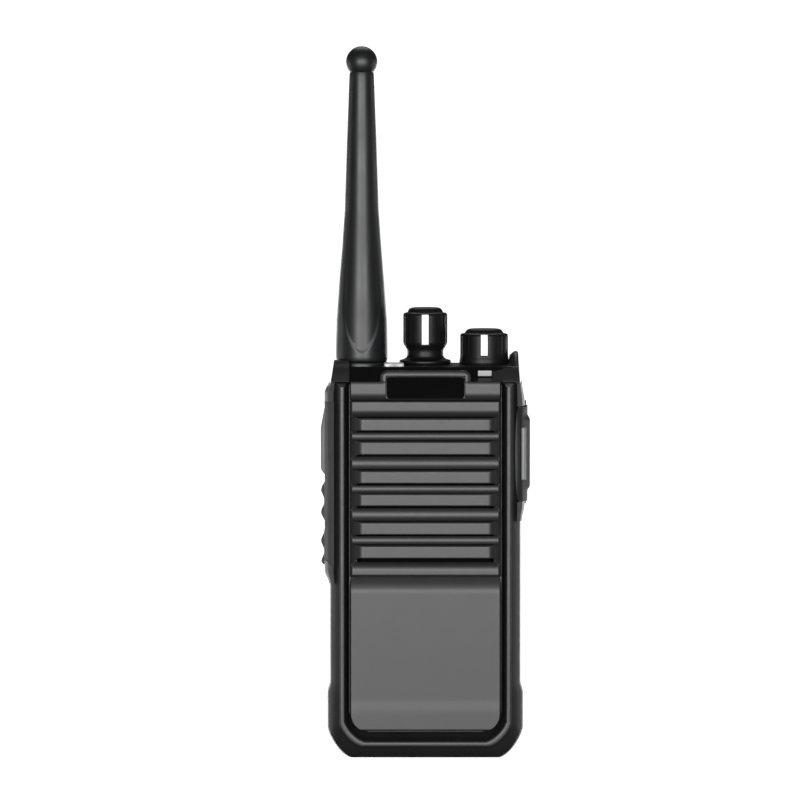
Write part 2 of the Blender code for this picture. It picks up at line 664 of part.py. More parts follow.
# ---- battery pack -----------------------------------------------------------------------
def make_battery():
    rim = {"inset": 0.3, "bottom": 0.0, "top": PACK_TOP, "top_corner": (1.0, 1.0), "sides": PACK_LEVELS}
    hollow = dict(rim, inset=2.2, bottom=2.0, top=96.7, corner=(6.0, 8.0))
    front, seam_front, seam_back, back = PACK_Y
    lid_sections = [casing_outline(front, **rim), casing_outline(seam_front, **rim)]
    lid = loft("battery_lid", lid_sections, "casing_plastic")
    for side, x in (("left", -RAIL_X), ("right", RAIL_X)):
        stem = box("channel_stem_" + side, (x - 0.9, front - 1, 13.5), (x + 0.9, 1.6, 110))
        slot = box("channel_slot_" + side, (x - 1.8, 0.8, 13.5), (x + 1.8, 2.4, 110))
        cut(lid, stem, slot)
    cut(lid, box("cut_battery_contacts", (-8.3, front - 1, 86.2), (8.3, 0.7, 91.8)))
    softer = dict(rim, top=PACK_TOP - 0.6, corner=(6.9, 9.2))
    edge = dict(rim, top=PACK_TOP - 2.0, corner=(6.4, 8.6))
    sections = [
        casing_outline(12.7, **hollow),
        casing_outline(seam_back, **hollow),
        casing_outline(seam_back, **rim),
        casing_outline(12.0, **rim),
        casing_outline(13.8, **dict(softer, inset=0.9, bottom=0.5)),
        casing_outline(back, **dict(edge, inset=2.4, bottom=2.0)),
    ]
    case = loft("battery_case", sections, "casing_plastic")
    cut(case, box("cut_latch_notch", (-4.6, 7.4, 95.0), (4.6, 11.0, 99.5)))
    box("battery_contacts", (-8.0, -0.35, 86.5), (8.0, 0.4, 91.5), "brass")
    box("battery_cell_lower", (-23.0, 3.6, 7.0), (23.0, 12.2, 45.0), "cell_wrap")
    box("battery_cell_upper", (-23.0, 3.6, 46.0), (23.0, 12.2, 84.0), "cell_wrap")
    box("battery_board", (-18.0, 4.5, 86.0), (18.0, 5.7, 94.0), "circuit_board")


def make_latch():
    leaf = [(9.4, 95.2), (12.0, 95.2), (12.0, 95.7), (9.9, 95.7), (9.9, 107.0), (12.2, 107.0), (12.2, 107.5),
            (9.4, 107.5)]
    plate("latch_spring", leaf, -3.5, 3.5, "steel", along="X")
    origin = (0, 12.5, 103.2)
    button = box("latch_button", (-6.0, 11.0, 101.5), (6.0, 15.3, 105.0), "casing_plastic", origin)
    join(button, box("latch_flange", (-7.4, 10.6, 101.5), (7.4, 12.1, 105.0)))


# ---- belt clip --------------------------------------------------------------------------
def make_clip_bracket():
    bracket = box("clip_bracket", (-11, 14.8, 105.6), (11, 16.2, 116.2), "casing_plastic")
    for side, x in (("left", -10.1), ("right", 10.1)):
        join(bracket, box("ear_" + side, (x - 0.9, 15.5, 108.6), (x + 0.9, 20.0, 113.4)))
    y, z = CLIP_PIVOT
    cut(bracket, hole("cut_clip_pin", 1.15, -12, 12, (0, y, z), "X", SMALL_STEPS))
    screw = [(0, -11.4), (1.1, -11.4), (1.1, -16.5), (2.0, -16.5), (2.0, -17.3), (0, -17.3)]
    for side, centre in clip_screw_centres():
        cut(bracket, hole("clip_screw_hole_" + side, 1.4, -17, -13, centre, "Y", SMALL_STEPS))
        turned("clip_screw_" + side, screw, centre, "steel", SMALL_STEPS, "Y")
    turned("clip_pin", disc_profile(0.85, -10.9, 10.9), (0, y, z), "steel", SMALL_STEPS, "X")
    turns, per_turn = 6, 8
    points = []
    for i in range(turns * per_turn + 1):
        angle = 2 * math.pi * i / per_turn
        x = -4.2 + 8.4 * i / (turns * per_turn)
        points.append((x, y + 1.45 * math.cos(angle), z + 1.45 * math.sin(angle)))
    wire("clip_spring", points, 0.26, "steel", (0, y, z))


def make_clip_lever():
    y, z = CLIP_PIVOT
    origin = (0, y, z)
    side = [(20.3, 115.6), (20.3, 51.0), (18.6, 47.6), (15.4, 46.2), (15.3, CLIP_BOTTOM), (19.2, 46.0),
            (21.5, 50.5), (21.5, 115.0), (21.0, 115.6)]
    lever = plate("clip_lever", side, -9.0, 9.0, "casing_plastic", along="X", origin=origin)
    for number, (low, high) in enumerate(((-8.9, -5.0), (5.0, 8.9)), 1):
        profile = disc_profile(1.95, low, high)
        join(lever, turned(f"knuckle_{number}", profile, (0, y, z), None, SMALL_STEPS, "X"))
    cut(lever, hole("cut_knuckles", 1.15, -12, 12, (0, y, z), "X", SMALL_STEPS))


def main():
    housing = make_front_housing()
    make_bosses(housing)
    cut(housing, make_index_mark())
    make_rear_cover()
    make_chassis()
    make_housing_screws()
    make_housing_seal()
    make_front_panel()
    make_badge()
    make_speaker()
    make_electronics()
    make_controls()
    make_antenna()
    make_ptt_bezel()
    make_side_keys()
    make_accessory_cover()
    make_battery()
    make_latch()
    make_clip_bracket()
    make_clip_lever()


main()
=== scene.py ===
"""The look of a handheld two-way radio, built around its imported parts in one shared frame.

Sizes are millimetres unless a name says otherwise. The front faces -Y and +Z is up.
"""
import json
import math

import bmesh
import bpy
from mathutils import Matrix, Vector


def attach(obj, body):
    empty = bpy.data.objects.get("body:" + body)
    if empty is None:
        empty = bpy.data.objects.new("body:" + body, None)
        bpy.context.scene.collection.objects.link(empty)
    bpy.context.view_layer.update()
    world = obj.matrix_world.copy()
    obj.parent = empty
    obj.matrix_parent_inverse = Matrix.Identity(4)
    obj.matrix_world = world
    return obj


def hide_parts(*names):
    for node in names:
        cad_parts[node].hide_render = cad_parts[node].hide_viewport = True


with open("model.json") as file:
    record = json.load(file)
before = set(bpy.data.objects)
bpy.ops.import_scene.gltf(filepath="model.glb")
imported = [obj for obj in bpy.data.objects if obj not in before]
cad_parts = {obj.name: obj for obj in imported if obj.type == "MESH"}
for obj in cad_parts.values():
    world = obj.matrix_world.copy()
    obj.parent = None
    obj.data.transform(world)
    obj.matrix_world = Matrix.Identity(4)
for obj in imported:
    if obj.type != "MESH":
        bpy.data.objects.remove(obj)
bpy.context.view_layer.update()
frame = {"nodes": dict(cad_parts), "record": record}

MM = 0.001
SMOOTH_ANGLE = 34
FINE = 72

# ---- driving sizes ----
HALF_WIDTH = 28.6
TOP = 117.5
BUMPER = 0.8
SIDE_LEVELS = (20.0, 22.7, 98.4, 98.7)
PACK_LEVELS = SIDE_LEVELS[:2]
CORNER = (7.2, 9.5)
TOP_CORNER = (2.2, 8.0)

CREST_Y = -21.5
BEVEL_Y = -15.5
SEAT_Y = -19.0
INNER_FRONT_Y = -17.0
PARTING_Y = -3.5
CHASSIS_Y = -2.5
HEAD_Y = 7.0
REAR_Y = 14.5
PACK_TOP = 98.3
SKIRT_Y = -0.72
SKIRT = 0.27
SEAM = 0.003
PACK_Y = (-0.697, 3.0, 3.0 + SEAM, 14.5)

CONTROL_Y = -6.5
ANTENNA_X = -19.1
CHANNEL_X = 0.0
VOLUME_X = 17.7
ANTENNA_TOP = 213.4
ANTENNA_SEAT = 116.9

PANEL_FRONT = -20.8
PANEL_BACK = -18.95
PANEL_HALF_WIDTH = 22.6
PANEL_BOTTOM = 8.5
PANEL_TOP = 113.2
TAB_HALF_WIDTH = 13.5
TAB_TOP = 116.6

KEY_Y = (-13.1, -5.9)
COVER_PIN = (29.9, -6.2)
CLIP_PIVOT = (18.4, 111.0)

LENS = 250
HALF_SENSOR = 18.0
HALF_VIEW = 0.1196


# ---- materials ----
MATERIALS = {}


def surface(name, colour, roughness, metallic=0.0, specular=0.5, mottle=0.12, cloud=45.0,
            grain=2600.0, depth=0.02, spread=0.08, scuffs=0.0, stretch=(1, 1, 1), weave=0.0, clear=0.0):
    """Add a finish to MATERIALS: clouded colour, uneven gloss, fine grain and light scuffs.

    Scales are waves per metre, and depth is the grain's bump in millimetres.
    """
    material = bpy.data.materials.new(name)
    material.use_nodes = True
    nodes, links = material.node_tree.nodes, material.node_tree.links
    shader = nodes["Principled BSDF"]
    shader.inputs["Metallic"].default_value = metallic
    shader.inputs["Specular IOR Level"].default_value = specular
    shader.inputs["Transmission Weight"].default_value = clear
    place = nodes.new("ShaderNodeTexCoord")
    stretched = nodes.new("ShaderNodeMapping")
    stretched.inputs["Scale"].default_value = stretch
    links.new(place.outputs["Object"], stretched.inputs["Vector"])

    def noise(scale, detail, source=stretched):
        texture = nodes.new("ShaderNodeTexNoise")
        texture.inputs["Scale"].default_value = scale
        texture.inputs["Detail"].default_value = detail
        links.new(source.outputs["Vector"], texture.inputs["Vector"])
        return texture.outputs["Fac"]

    def span(value, low, high, start=0.3, end=0.7):
        ranged = nodes.new("ShaderNodeMapRange")
        ranged.inputs["From Min"].default_value = start
        ranged.inputs["From Max"].default_value = end
        ranged.inputs["To Min"].default_value = low
        ranged.inputs["To Max"].default_value = high
        links.new(value, ranged.inputs["Value"])
        return ranged.outputs["Result"]

    def math_node(operation, first, second):
        node = nodes.new("ShaderNodeMath")
        node.operation = operation
        for socket, value in zip(node.inputs, (first, second)):
            if isinstance(value, (int, float)):
                socket.default_value = value
            else:
                links.new(value, socket)
        return node.outputs["Value"]

    clouds = noise(cloud, 4.0)
    fine = noise(grain, 3.0)
    broad = span(clouds, 1 - mottle, 1 + mottle)
    close = span(fine, 1 - mottle / 2, 1 + mottle / 2)
    tint = nodes.new("ShaderNodeMix")
    tint.data_type = "RGBA"
    tint.blend_type = "MULTIPLY"
    tint.inputs["Factor"].default_value = 1.0
    tint.inputs["A"].default_value = (*colour, 1)
    links.new(math_node("MULTIPLY", broad, close), tint.inputs["B"])
    colour_out = tint.outputs["Result"]
    gloss = span(noise(cloud * 2.3, 5.0), roughness - spread, roughness + spread)
    if scuffs:
        streak = nodes.new("ShaderNodeMapping")
        streak.inputs["Scale"].default_value = (1.0, 1.0, 0.06)
        streak.inputs["Rotation"].default_value = (0.2, 0.5, 0.3)
        links.new(place.outputs["Object"], streak.inputs["Vector"])
        marks = span(noise(900.0, 2.0, streak), 0.0, scuffs, 0.62, 0.74)
        worn = nodes.new("ShaderNodeMix")
        worn.data_type = "RGBA"
        links.new(marks, worn.inputs["Factor"])
        links.new(colour_out, worn.inputs["A"])
        worn.inputs["B"].default_value = (*(min(1.0, 2.2 * c + 0.01) for c in colour), 1)
        colour_out = worn.outputs["Result"]
        gloss = math_node("ADD", gloss, math_node("MULTIPLY", marks, 0.5))
    links.new(colour_out, shader.inputs["Base Color"])
    links.new(gloss, shader.inputs["Roughness"])
    height = fine
    if weave:
        waves = []
        for direction in ("X", "Z"):
            wave = nodes.new("ShaderNodeTexWave")
            wave.bands_direction = direction
            wave.inputs["Scale"].default_value = weave
            links.new(place.outputs["Object"], wave.inputs["Vector"])
            waves.append(wave.outputs["Fac"])
        height = math_node("MULTIPLY", *waves)
    bump = nodes.new("ShaderNodeBump")
    bump.inputs["Strength"].default_value = 1.0
    bump.inputs["Distance"].default_value = depth * MM
    links.new(height, bump.inputs["Height"])
    links.new(bump.outputs["Normal"], shader.inputs["Normal"])
    MATERIALS[name] = material


surface("casing_plastic", (0.0075, 0.0075, 0.008), 0.42, specular=0.5, spread=0.03,
        scuffs=0.05, depth=0.008)
surface("panel_plastic", (0.012, 0.012, 0.0123), 0.43, specular=0.52, mottle=0.05,
        cloud=160.0, spread=0.012, scuffs=0.03, depth=0.007)
surface("gloss_black", (0.002, 0.002, 0.002), 0.045, specular=0.3, spread=0.02,
        mottle=0.05, depth=0.0003)
surface("knob_plastic", (0.003, 0.003, 0.003), 0.42, specular=0.24, spread=0.03,
        scuffs=0.04, depth=0.006)
surface("rubber", (0.030, 0.030, 0.031), 0.6, specular=0.45, spread=0.04, depth=0.012)
surface("antenna_rubber", (0.0055, 0.006, 0.0065), 0.41, specular=0.46, spread=0.03,
        scuffs=0.03, depth=0.004)
surface("white_plastic", (0.86, 0.86, 0.86), 0.4, mottle=0.03, depth=0.004)
surface("pale_plastic", (0.42, 0.42, 0.43), 0.42, mottle=0.05, depth=0.005)
surface("grey_plastic", (0.20, 0.20, 0.21), 0.45, mottle=0.05, depth=0.005)
surface("key_rubber", (0.13, 0.13, 0.136), 0.52, specular=0.5, spread=0.04, depth=0.012)
# A glossy finish darker than the casing for the brow: real gloss, with painted shade in its darker colour.
surface("gloss_and_painted_shade", (0.002, 0.002, 0.002), 0.16, specular=0.4, spread=0.03,
        mottle=0.05, depth=0.0005)
surface("light_pipe", (0.38, 0.38, 0.39), 0.25, mottle=0.04, depth=0.004, clear=0.3)
surface("speaker_paper", (0.02, 0.02, 0.02), 0.85, depth=0.03)
surface("mesh_cloth", (0.002, 0.002, 0.002), 0.95, specular=0.05, weave=1200.0, depth=0.15)
surface("circuit_board", (0.01, 0.09, 0.03), 0.45, mottle=0.3, cloud=160.0)
surface("aluminium", (0.52, 0.52, 0.53), 0.45, metallic=1.0, depth=0.02, grain=1800.0)
surface("dark_alloy", (0.035, 0.035, 0.037), 0.5, specular=0.45, depth=0.012, grain=1800.0)
surface("steel", (0.45, 0.45, 0.46), 0.34, metallic=1.0, depth=0.006, stretch=(1, 1, 12))
surface("brass", (0.72, 0.52, 0.2), 0.32, metallic=1.0, depth=0.006, stretch=(1, 1, 12))
surface("cell_wrap", (0.03, 0.08, 0.25), 0.38, mottle=0.1, depth=0.01)

HIDDEN_FINISH = {"chassis": "dark_alloy", "cover_pin": "dark_alloy"}
SLOT_OF = {part["node"]: part["material_slot"] for part in frame["record"]["subparts"]}
for cad_name, cad_object in frame["nodes"].items():
    cad_object.data.materials.clear()
    cad_object.data.materials.append(MATERIALS[HIDDEN_FINISH.get(cad_name, SLOT_OF[cad_name])])


# ---- building blocks ----
def shade(mesh, angle=SMOOTH_ANGLE):
    """Weld and tidy a mesh, then shade it smooth with edges above the angle kept sharp."""
    bm = bmesh.new()
    bm.from_mesh(mesh)
    bmesh.ops.remove_doubles(bm, verts=bm.verts, dist=0.000001)
    bmesh.ops.dissolve_degenerate(bm, edges=bm.edges, dist=0.0000005)
    bmesh.ops.recalc_face_normals(bm, faces=bm.faces)
    bmesh.ops.delete(bm, geom=[v for v in bm.verts if not v.link_faces], context="VERTS")
    bm.to_mesh(mesh)
    bm.free()
    mesh.shade_smooth()
    mesh.set_sharp_from_angle(angle=math.radians(angle))


def link(obj):
    bpy.context.scene.collection.objects.link(obj)
    return obj


def solid(name, points, faces, angle=SMOOTH_ANGLE):
    """An object from points in millimetres."""
    mesh = bpy.data.meshes.new(name)
    mesh.from_pydata([Vector(p) * MM for p in points], [], faces)
    shade(mesh, angle)
    return link(bpy.data.objects.new(name, mesh))


def loft(name, sections, ring=False):
    """Skin between outlines with equally many points. A ring closes onto its first outline."""
    count = len(sections[0])
    points = [p for section in sections for p in section]
    faces = []
    for k in range(len(sections) if ring else len(sections) - 1):
        first, second = k * count, (k + 1) % len(sections) * count
        for i in range(count):
            j = (i + 1) % count
            faces.append((first + i, first + j, second + j, second + i))
    if not ring:
        end = (len(sections) - 1) * count
        faces += [tuple(range(count)), tuple(range(end, end + count))]
    return solid(name, points, faces)


def turned(name, profile, centre, steps=FINE, along="Z", shape=None, angle=SMOOTH_ANGLE):
    """A profile of (radius, height) turned round an axis. shape alters each point's radius."""
    count = len(profile)
    points, faces = [], []
    closed = profile[0] == profile[-1]
    rows = count - 1 if closed else count
    for i in range(steps):
        a = 2 * math.pi * i / steps
        for radius, height in profile[:rows]:
            r = shape(radius, a, height) if shape else radius
            x, y, z = r * math.cos(a), r * math.sin(a), height
            if along == "Y":
                x, y, z = x, -height, y
            if along == "X":
                x, y, z = height, x, y
            points.append((x + centre[0], y + centre[1], z + centre[2]))
    for i in range(steps):
        first, second = i * rows, (i + 1) % steps * rows
        for k in range(rows if closed else rows - 1):
            n = (k + 1) % rows
            faces.append((first + k, first + n, second + n, second + k))
    return solid(name, points, faces, angle)


def soften(points, radius, steps=3, closed=True):
    """Round the corners of a polyline. The count of points grows the same way for any shape."""
    count = len(points)
    out = []
    for i, point in enumerate(points):
        if not closed and i in (0, count - 1):
            out.append(tuple(point))
            continue
        here = Vector(point)
        before, after = Vector(points[i - 1]), Vector(points[(i + 1) % count])
        r_in = min(radius, (before - here).length * 0.45)
        r_out = min(radius, (after - here).length * 0.45)
        start = here + (before - here).normalized() * r_in
        end = here + (after - here).normalized() * r_out
        for k in range(steps + 1):
            t = k / steps
            out.append(tuple(start * (1 - t) ** 2 + here * 2 * t * (1 - t) + end * t * t))
    return out


def prism(name, outline, low, high, along="Y"):
    """A flat outline extruded: (x, z) along Y, or (y, z) along X."""
    if along == "X":
        return loft(name, [[(h, a, b) for a, b in outline] for h in (low, high)])
    return loft(name, [[(a, h, b) for a, b in outline] for h in (low, high)])


def block(name, low, high, radius=0.0, segments=3):
    """A box between two corners, with rounded edges."""
    bm = bmesh.new()
    bmesh.ops.create_cube(bm, size=1.0)
    low, high = Vector(low) * MM, Vector(high) * MM
    size = high - low
    bmesh.ops.scale(bm, vec=size, verts=bm.verts)
    bmesh.ops.translate(bm, vec=(low + high) / 2, verts=bm.verts)
    if radius:
        bmesh.ops.bevel(bm, geom=bm.edges, offset=radius * MM, segments=segments, affect="EDGES", profile=0.5)
    mesh = bpy.data.meshes.new(name)
    bm.to_mesh(mesh)
    bm.free()
    shade(mesh)
    return link(bpy.data.objects.new(name, mesh))


def edges(obj, width, segments=2):
    """Round the sharp edges with a bevel modifier."""
    modifier = obj.modifiers.new("edges", "BEVEL")
    modifier.width = width * MM
    modifier.segments = segments
    modifier.limit_method = "ANGLE"
    modifier.angle_limit = math.radians(30)


def settle(obj, tools=(), angle=SMOOTH_ANGLE):
    """Turn the modifiers into the mesh, drop the tools and mark sharp edges."""
    graph = bpy.context.evaluated_depsgraph_get()
    obj.data = bpy.data.meshes.new_from_object(obj.evaluated_get(graph))
    obj.modifiers.clear()
    for tool in tools:
        bpy.data.objects.remove(tool)
    shade(obj.data, angle)
    return obj


def carve(obj, cutters=(), additions=(), angle=SMOOTH_ANGLE):
    """Join the additions on, cut the cutters away and keep the resulting mesh."""
    for operation, tools in (("UNION", additions), ("DIFFERENCE", cutters)):
        for tool in tools:
            modifier = obj.modifiers.new(tool.name, "BOOLEAN")
            modifier.operation = operation
            modifier.solver = "EXACT"
            modifier.object = tool
    return settle(obj, [*additions, *cutters], angle)


def piece(obj, body, slot, *nodes, finish=None):
    """Finish a visible piece: its material, the body it rides on and the nodes it stands for."""
    obj.data.materials.clear()
    obj.data.materials.append(MATERIALS[finish or slot])
    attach(obj, body)
    if nodes:
        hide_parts(*nodes)
    return obj


def drill(name, radius, low, high, centre, along="Z", steps=48):
    """A round cutter. One along Z is turned half a step so that no corner lands on a seam."""
    tool = turned(name, [(0, high), (radius, high), (radius, low), (0, low)], centre, steps, along)
    if along == "Z":
        pivot = Matrix.Translation(Vector(centre) * MM)
        tool.data.transform(pivot @ Matrix.Rotation(math.pi / steps, 4, "Z") @ pivot.inverted())
    return tool


# ---- casing ----
def corner_points(centre, radii, start, exponent, steps):
    """A quarter of a superellipse from the angle start, in degrees. Exponent 2 is an ellipse."""
    points = []
    for i in range(steps + 1):
        a = math.radians(start + 90 * i / steps)
        c, s = math.cos(a), math.sin(a)
        across = math.copysign(abs(c) ** (2 / exponent), c)
        up = math.copysign(abs(s) ** (2 / exponent), s)
        points.append((centre[0] + radii[0] * across, centre[1] + radii[1] * up))
    return points


def casing_outline(y, inset=0.0, bottom=0.0, top=TOP, bumper=BUMPER, corner=CORNER,
                   top_corner=TOP_CORNER, sides=SIDE_LEVELS, half_width=HALF_WIDTH, head_y=None):
    """The casing's outline at depth y: chamfer-like lower corners and a wider lower bumper."""
    wide = half_width + bumper - inset
    narrow = half_width - inset
    lower = corner_points((wide - corner[0], bottom + corner[1]), corner, -90, 1.5, 14)
    upper = corner_points((narrow - top_corner[0], top - top_corner[1]), top_corner, 0, 2, 7)
    flanks = [(narrow if level else wide, z) for level, z in enumerate(sides)]
    right = lower + flanks + upper
    left = [(-x, z) for x, z in reversed(right)]
    deep = y if head_y is None else head_y
    return [(x, deep if z > PACK_TOP + 0.2 else y, z) for x, z in right + left]


def mix(first, second, share, y):
    """An outline part of the way between two others, moved to depth y."""
    return [(a[0] + (b[0] - a[0]) * share, y, a[2] + (b[2] - a[2]) * share) for a, b in zip(first, second)]


def casing_rings():
    """Outlines from the rear edge, over the bevel and the round bead, to the inner wall."""
    bead = {"bumper": 0.0, "top_corner": (1.0, 1.0)}
    window = {"bumper": 0.0, "bottom": 57.0, "top": 106.0, "corner": (2, 2), "top_corner": (2, 2),
              "sides": (62.0, 70.0, 85.0, 95.0), "half_width": 20.5}
    inner = {"bumper": 0.0, "inset": 2.0, "bottom": 2.4, "corner": (6.0, 8.0), "top_corner": (2.0, 6.0)}
    side = casing_outline(BEVEL_Y)
    slope = casing_outline(-18.0, inset=0.7, bottom=0.5, bumper=0.6, corner=(6.9, 9.0), top=117.2)
    outer = casing_outline(-20.3, inset=2.8, bottom=3.6, corner=(6.6, 7.0), top=117.0, **bead)
    within = casing_outline(-20.3, inset=4.7, bottom=5.7, corner=(6.2, 6.2), top=113.2, **bead)
    rings = [casing_outline(SKIRT_Y, head_y=HEAD_Y), mix(side, side, 0, -9.0), side,
             mix(side, slope, 0.22, -16.4), mix(side, slope, 0.55, -17.3), slope,
             mix(slope, outer, 0.5, -19.25), mix(slope, outer, 0.9, -20.1)]
    for k in range(13):
        a = math.pi * k / 12
        across = math.copysign(abs(math.cos(a)) ** (0.5 if a < math.pi / 2 else 0.85), math.cos(a))
        rings.append(mix(outer, within, (1 - across) / 2, -20.3 - 1.2 * math.sin(a) ** 0.7))
    rings += [
        casing_outline(-17.5, inset=5.3, bottom=6.9, corner=(6.0, 6.0), top=112.9, **bead),
        casing_outline(SEAT_Y, inset=5.85, bottom=8.2, corner=(6.0, 6.0), top=112.9, **bead),
        casing_outline(SEAT_Y, **window),
        casing_outline(INNER_FRONT_Y, **window),
        casing_outline(INNER_FRONT_Y, top=111.0, **inner),
        casing_outline(-13.0, top=115.2, **inner),
        casing_outline(PARTING_Y, top=115.2, head_y=HEAD_Y, **inner),
        casing_outline(PARTING_Y, inset=SKIRT, bottom=SKIRT, top=TOP - SKIRT, head_y=HEAD_Y),
        casing_outline(SKIRT_Y, inset=SKIRT, bottom=SKIRT, top=TOP - SKIRT, head_y=HEAD_Y),
    ]
    return rings


def cheek(name, outer, inner, top, lean):
    """A raised flank beside the sloping brow. Its outer side leans in as it rises."""
    foot = 113.1
    outline = [(-19.35, foot), (-16.45, 117.3), (-15.9, top - 0.7), (-15.3, top), (-8.0, top), (-8.0, foot)]
    outline = soften(outline, 0.35, 2)
    outside = [(outer + lean * (z - foot), y, z) for y, z in outline]
    return loft(name, [outside, [(inner, y, z) for y, z in outline]])


def fin():
    """The upswept fin beside the volume knob, its nose raked back."""
    crest = ((-14.2, 117.4), (-13.4, 118.1), (-12.0, 119.3), (-10.4, 120.5), (-8.8, 121.4), (-7.2, 121.9),
             (-4.4, 121.9))
    sections = []
    for y, top in crest:
        outline = [(24.95, 113.6), (28.35, 113.6), (28.1, min(118.0, top - 0.9)), (27.95, top - 0.4),
                   (27.3, top), (26.6, top - 0.3), (25.35, top - 1.4), (25.05, min(118.5, top - 2.0))]
        sections.append([(x, y, z) for x, z in soften(outline, 0.25, 2)])
    return loft("fin", sections)


def polish_and_paint_shade(obj, finish, low, high, lean):
    """Give the faces inside a box whose normals point up by at least lean a polished finish in a darker
    colour: painted shade on the upward-facing brow.
    """
    obj.data.materials.append(MATERIALS[finish])
    for face in obj.data.polygons:
        face.material_index = 0
        inside = all(a * MM <= c <= b * MM for a, b, c in zip(low, high, face.center))
        if inside and face.normal.z > lean and face.normal.y < -0.3:
            face.material_index = 1
            face.use_smooth = False


def collar(name, x):
    """The raised pad round a control's bushing, with a lip inside the knob's skirt."""
    profile = [(4.0, 117.2), (4.0, 117.72), (4.92, 117.72), (4.92, 118.5), (5.18, 118.5), (5.18, 117.86),
               (7.4, 117.84), (8.0, 117.7), (8.3, 117.2)]
    profile.append(profile[0])
    return turned(name, profile, (x, CONTROL_Y, 0), 96)


def make_casing():
    """The front moulding with its brow, cheeks, fin and control pads, and its index mark."""
    casing = loft("casing_front", casing_rings(), ring=True)
    brow = [(-30, 111.4), (CREST_Y - 0.5, 111.4), (SEAT_Y, 112.9), (-16.1, TOP), (-16.1, 125), (-30, 125)]
    seat = [(0, 130), (8.4, 130), (8.4, ANTENNA_SEAT), (5.0, ANTENNA_SEAT), (5.0, 110), (0, 110)]
    mark = block("cut_index", (-2.35, -3.0, -1.2), (2.35, 0.5, 1.2))
    slope = math.atan2(TOP - 112.9, SEAT_Y + 16.1) - math.pi / 2
    place = Matrix.Translation(Vector((17.75, -17.25, 115.65)) * MM) @ Matrix.Rotation(slope, 4, "X")
    mark.data.transform(place)
    head_floor = block("head_floor", (-27.4, PARTING_Y - 2.5, 98.8), (27.4, HEAD_Y - 0.2, 100.7))
    carve(
        casing,
        cutters=[
            prism("cut_brow", brow, -40, 40, "X"),
            block("cut_tab_seat", (-13.8, -25, 111), (13.8, SEAT_Y, 118.5)),
            turned("cut_antenna", seat, (ANTENNA_X, CONTROL_Y, 0), 64),
            drill("cut_channel", 3.9, 110, 120, (CHANNEL_X, CONTROL_Y, 0)),
            drill("cut_volume", 3.9, 110, 120, (VOLUME_X, CONTROL_Y, 0)),
            block("cut_light", (-12.7, -14.5, 110), (-6.1, -12.0, 120)),
            block("cut_keys", (-33, -13.6, 57.4), (-25, -5.4, 106.0)),
            block("cut_socket", (25, -14.6, 78.7), (33, -7.4, 104.3)),
            mark,
        ],
        additions=[head_floor, collar("pad_channel", CHANNEL_X), collar("pad_volume", VOLUME_X)],
    )
    carve(
        casing,
        cutters=[turned("cut_antenna_foot", seat, (ANTENNA_X, CONTROL_Y, 0), 64)],
        additions=[fin(), cheek("cheek_left", -28.3, -22.8, 119.3, 0.15),
                   cheek("cheek_right", 28.3, 23.1, 117.6, -0.08)],
    )
    piece(casing, "radio", "casing_plastic", "front_housing")
    # The brow's up-facing front faces get a glossy, darker finish: painted shade standing in for the slope's
    # dark reflection.
    polish_and_paint_shade(casing, "gloss_and_painted_shade", (-22.8, -19.4, 112.5), (23.1, -15.9, TOP), 0.3)
    pointer = block("index_pointer", (-2.05, -0.3, -0.9), (2.05, 0.2, 0.9), 0.15)
    pointer.data.transform(place)
    piece(pointer, "radio", "pale_plastic", "index_mark")


# ---- front panel ----
# Slats are (low, high) and ridges are (foot, crest, head, radius of the roll).
FACE, RIDGE, BAR, OPEN = "face", "ridge", "bar", "open"
SLATS = ((60.25, 64.3), (67.35, 71.35), (75.95, 79.85), (82.7, 86.75), (91.3, 95.5), (98.45, 102.4))
RIDGES = (
    (64.6, 65.65, 66.95, 2.0),
    (71.65, 73.3, 75.3, 3.0),
    (79.95, 81.1, 82.2, 2.0),
    (87.1, 88.65, 90.8, 3.0),
    (95.75, 96.85, 98.0, 2.0),
)
SLAT_DEPTH = 0.42
RIDGE_DEPTH = 0.05
FOOT = 1.6
LOWER_FACE = 0.16
RAMP_TOP = 54.9
TAB_FOOT = PANEL_TOP + 0.05
SLAT_END = 18.5
WALL_START = 20.9
WALL_END = 22.2
CORNER_RADIUS = 5.0
TAB_RADIUS = 2.0


def roll(flat_z, foot_z, radius, depth=0.0, steps=7, hold=0.15):
    """Rows of a round edge from a flat face to its foot, with a holding row on the flat side."""
    rows = [(flat_z - math.copysign(hold, foot_z - flat_z), depth)] if hold else []
    for k in range(steps + 1):
        across = (foot_z - flat_z) * k / steps
        rows.append((flat_z + across, depth + radius - math.sqrt(radius * radius - across * across)))
    return rows


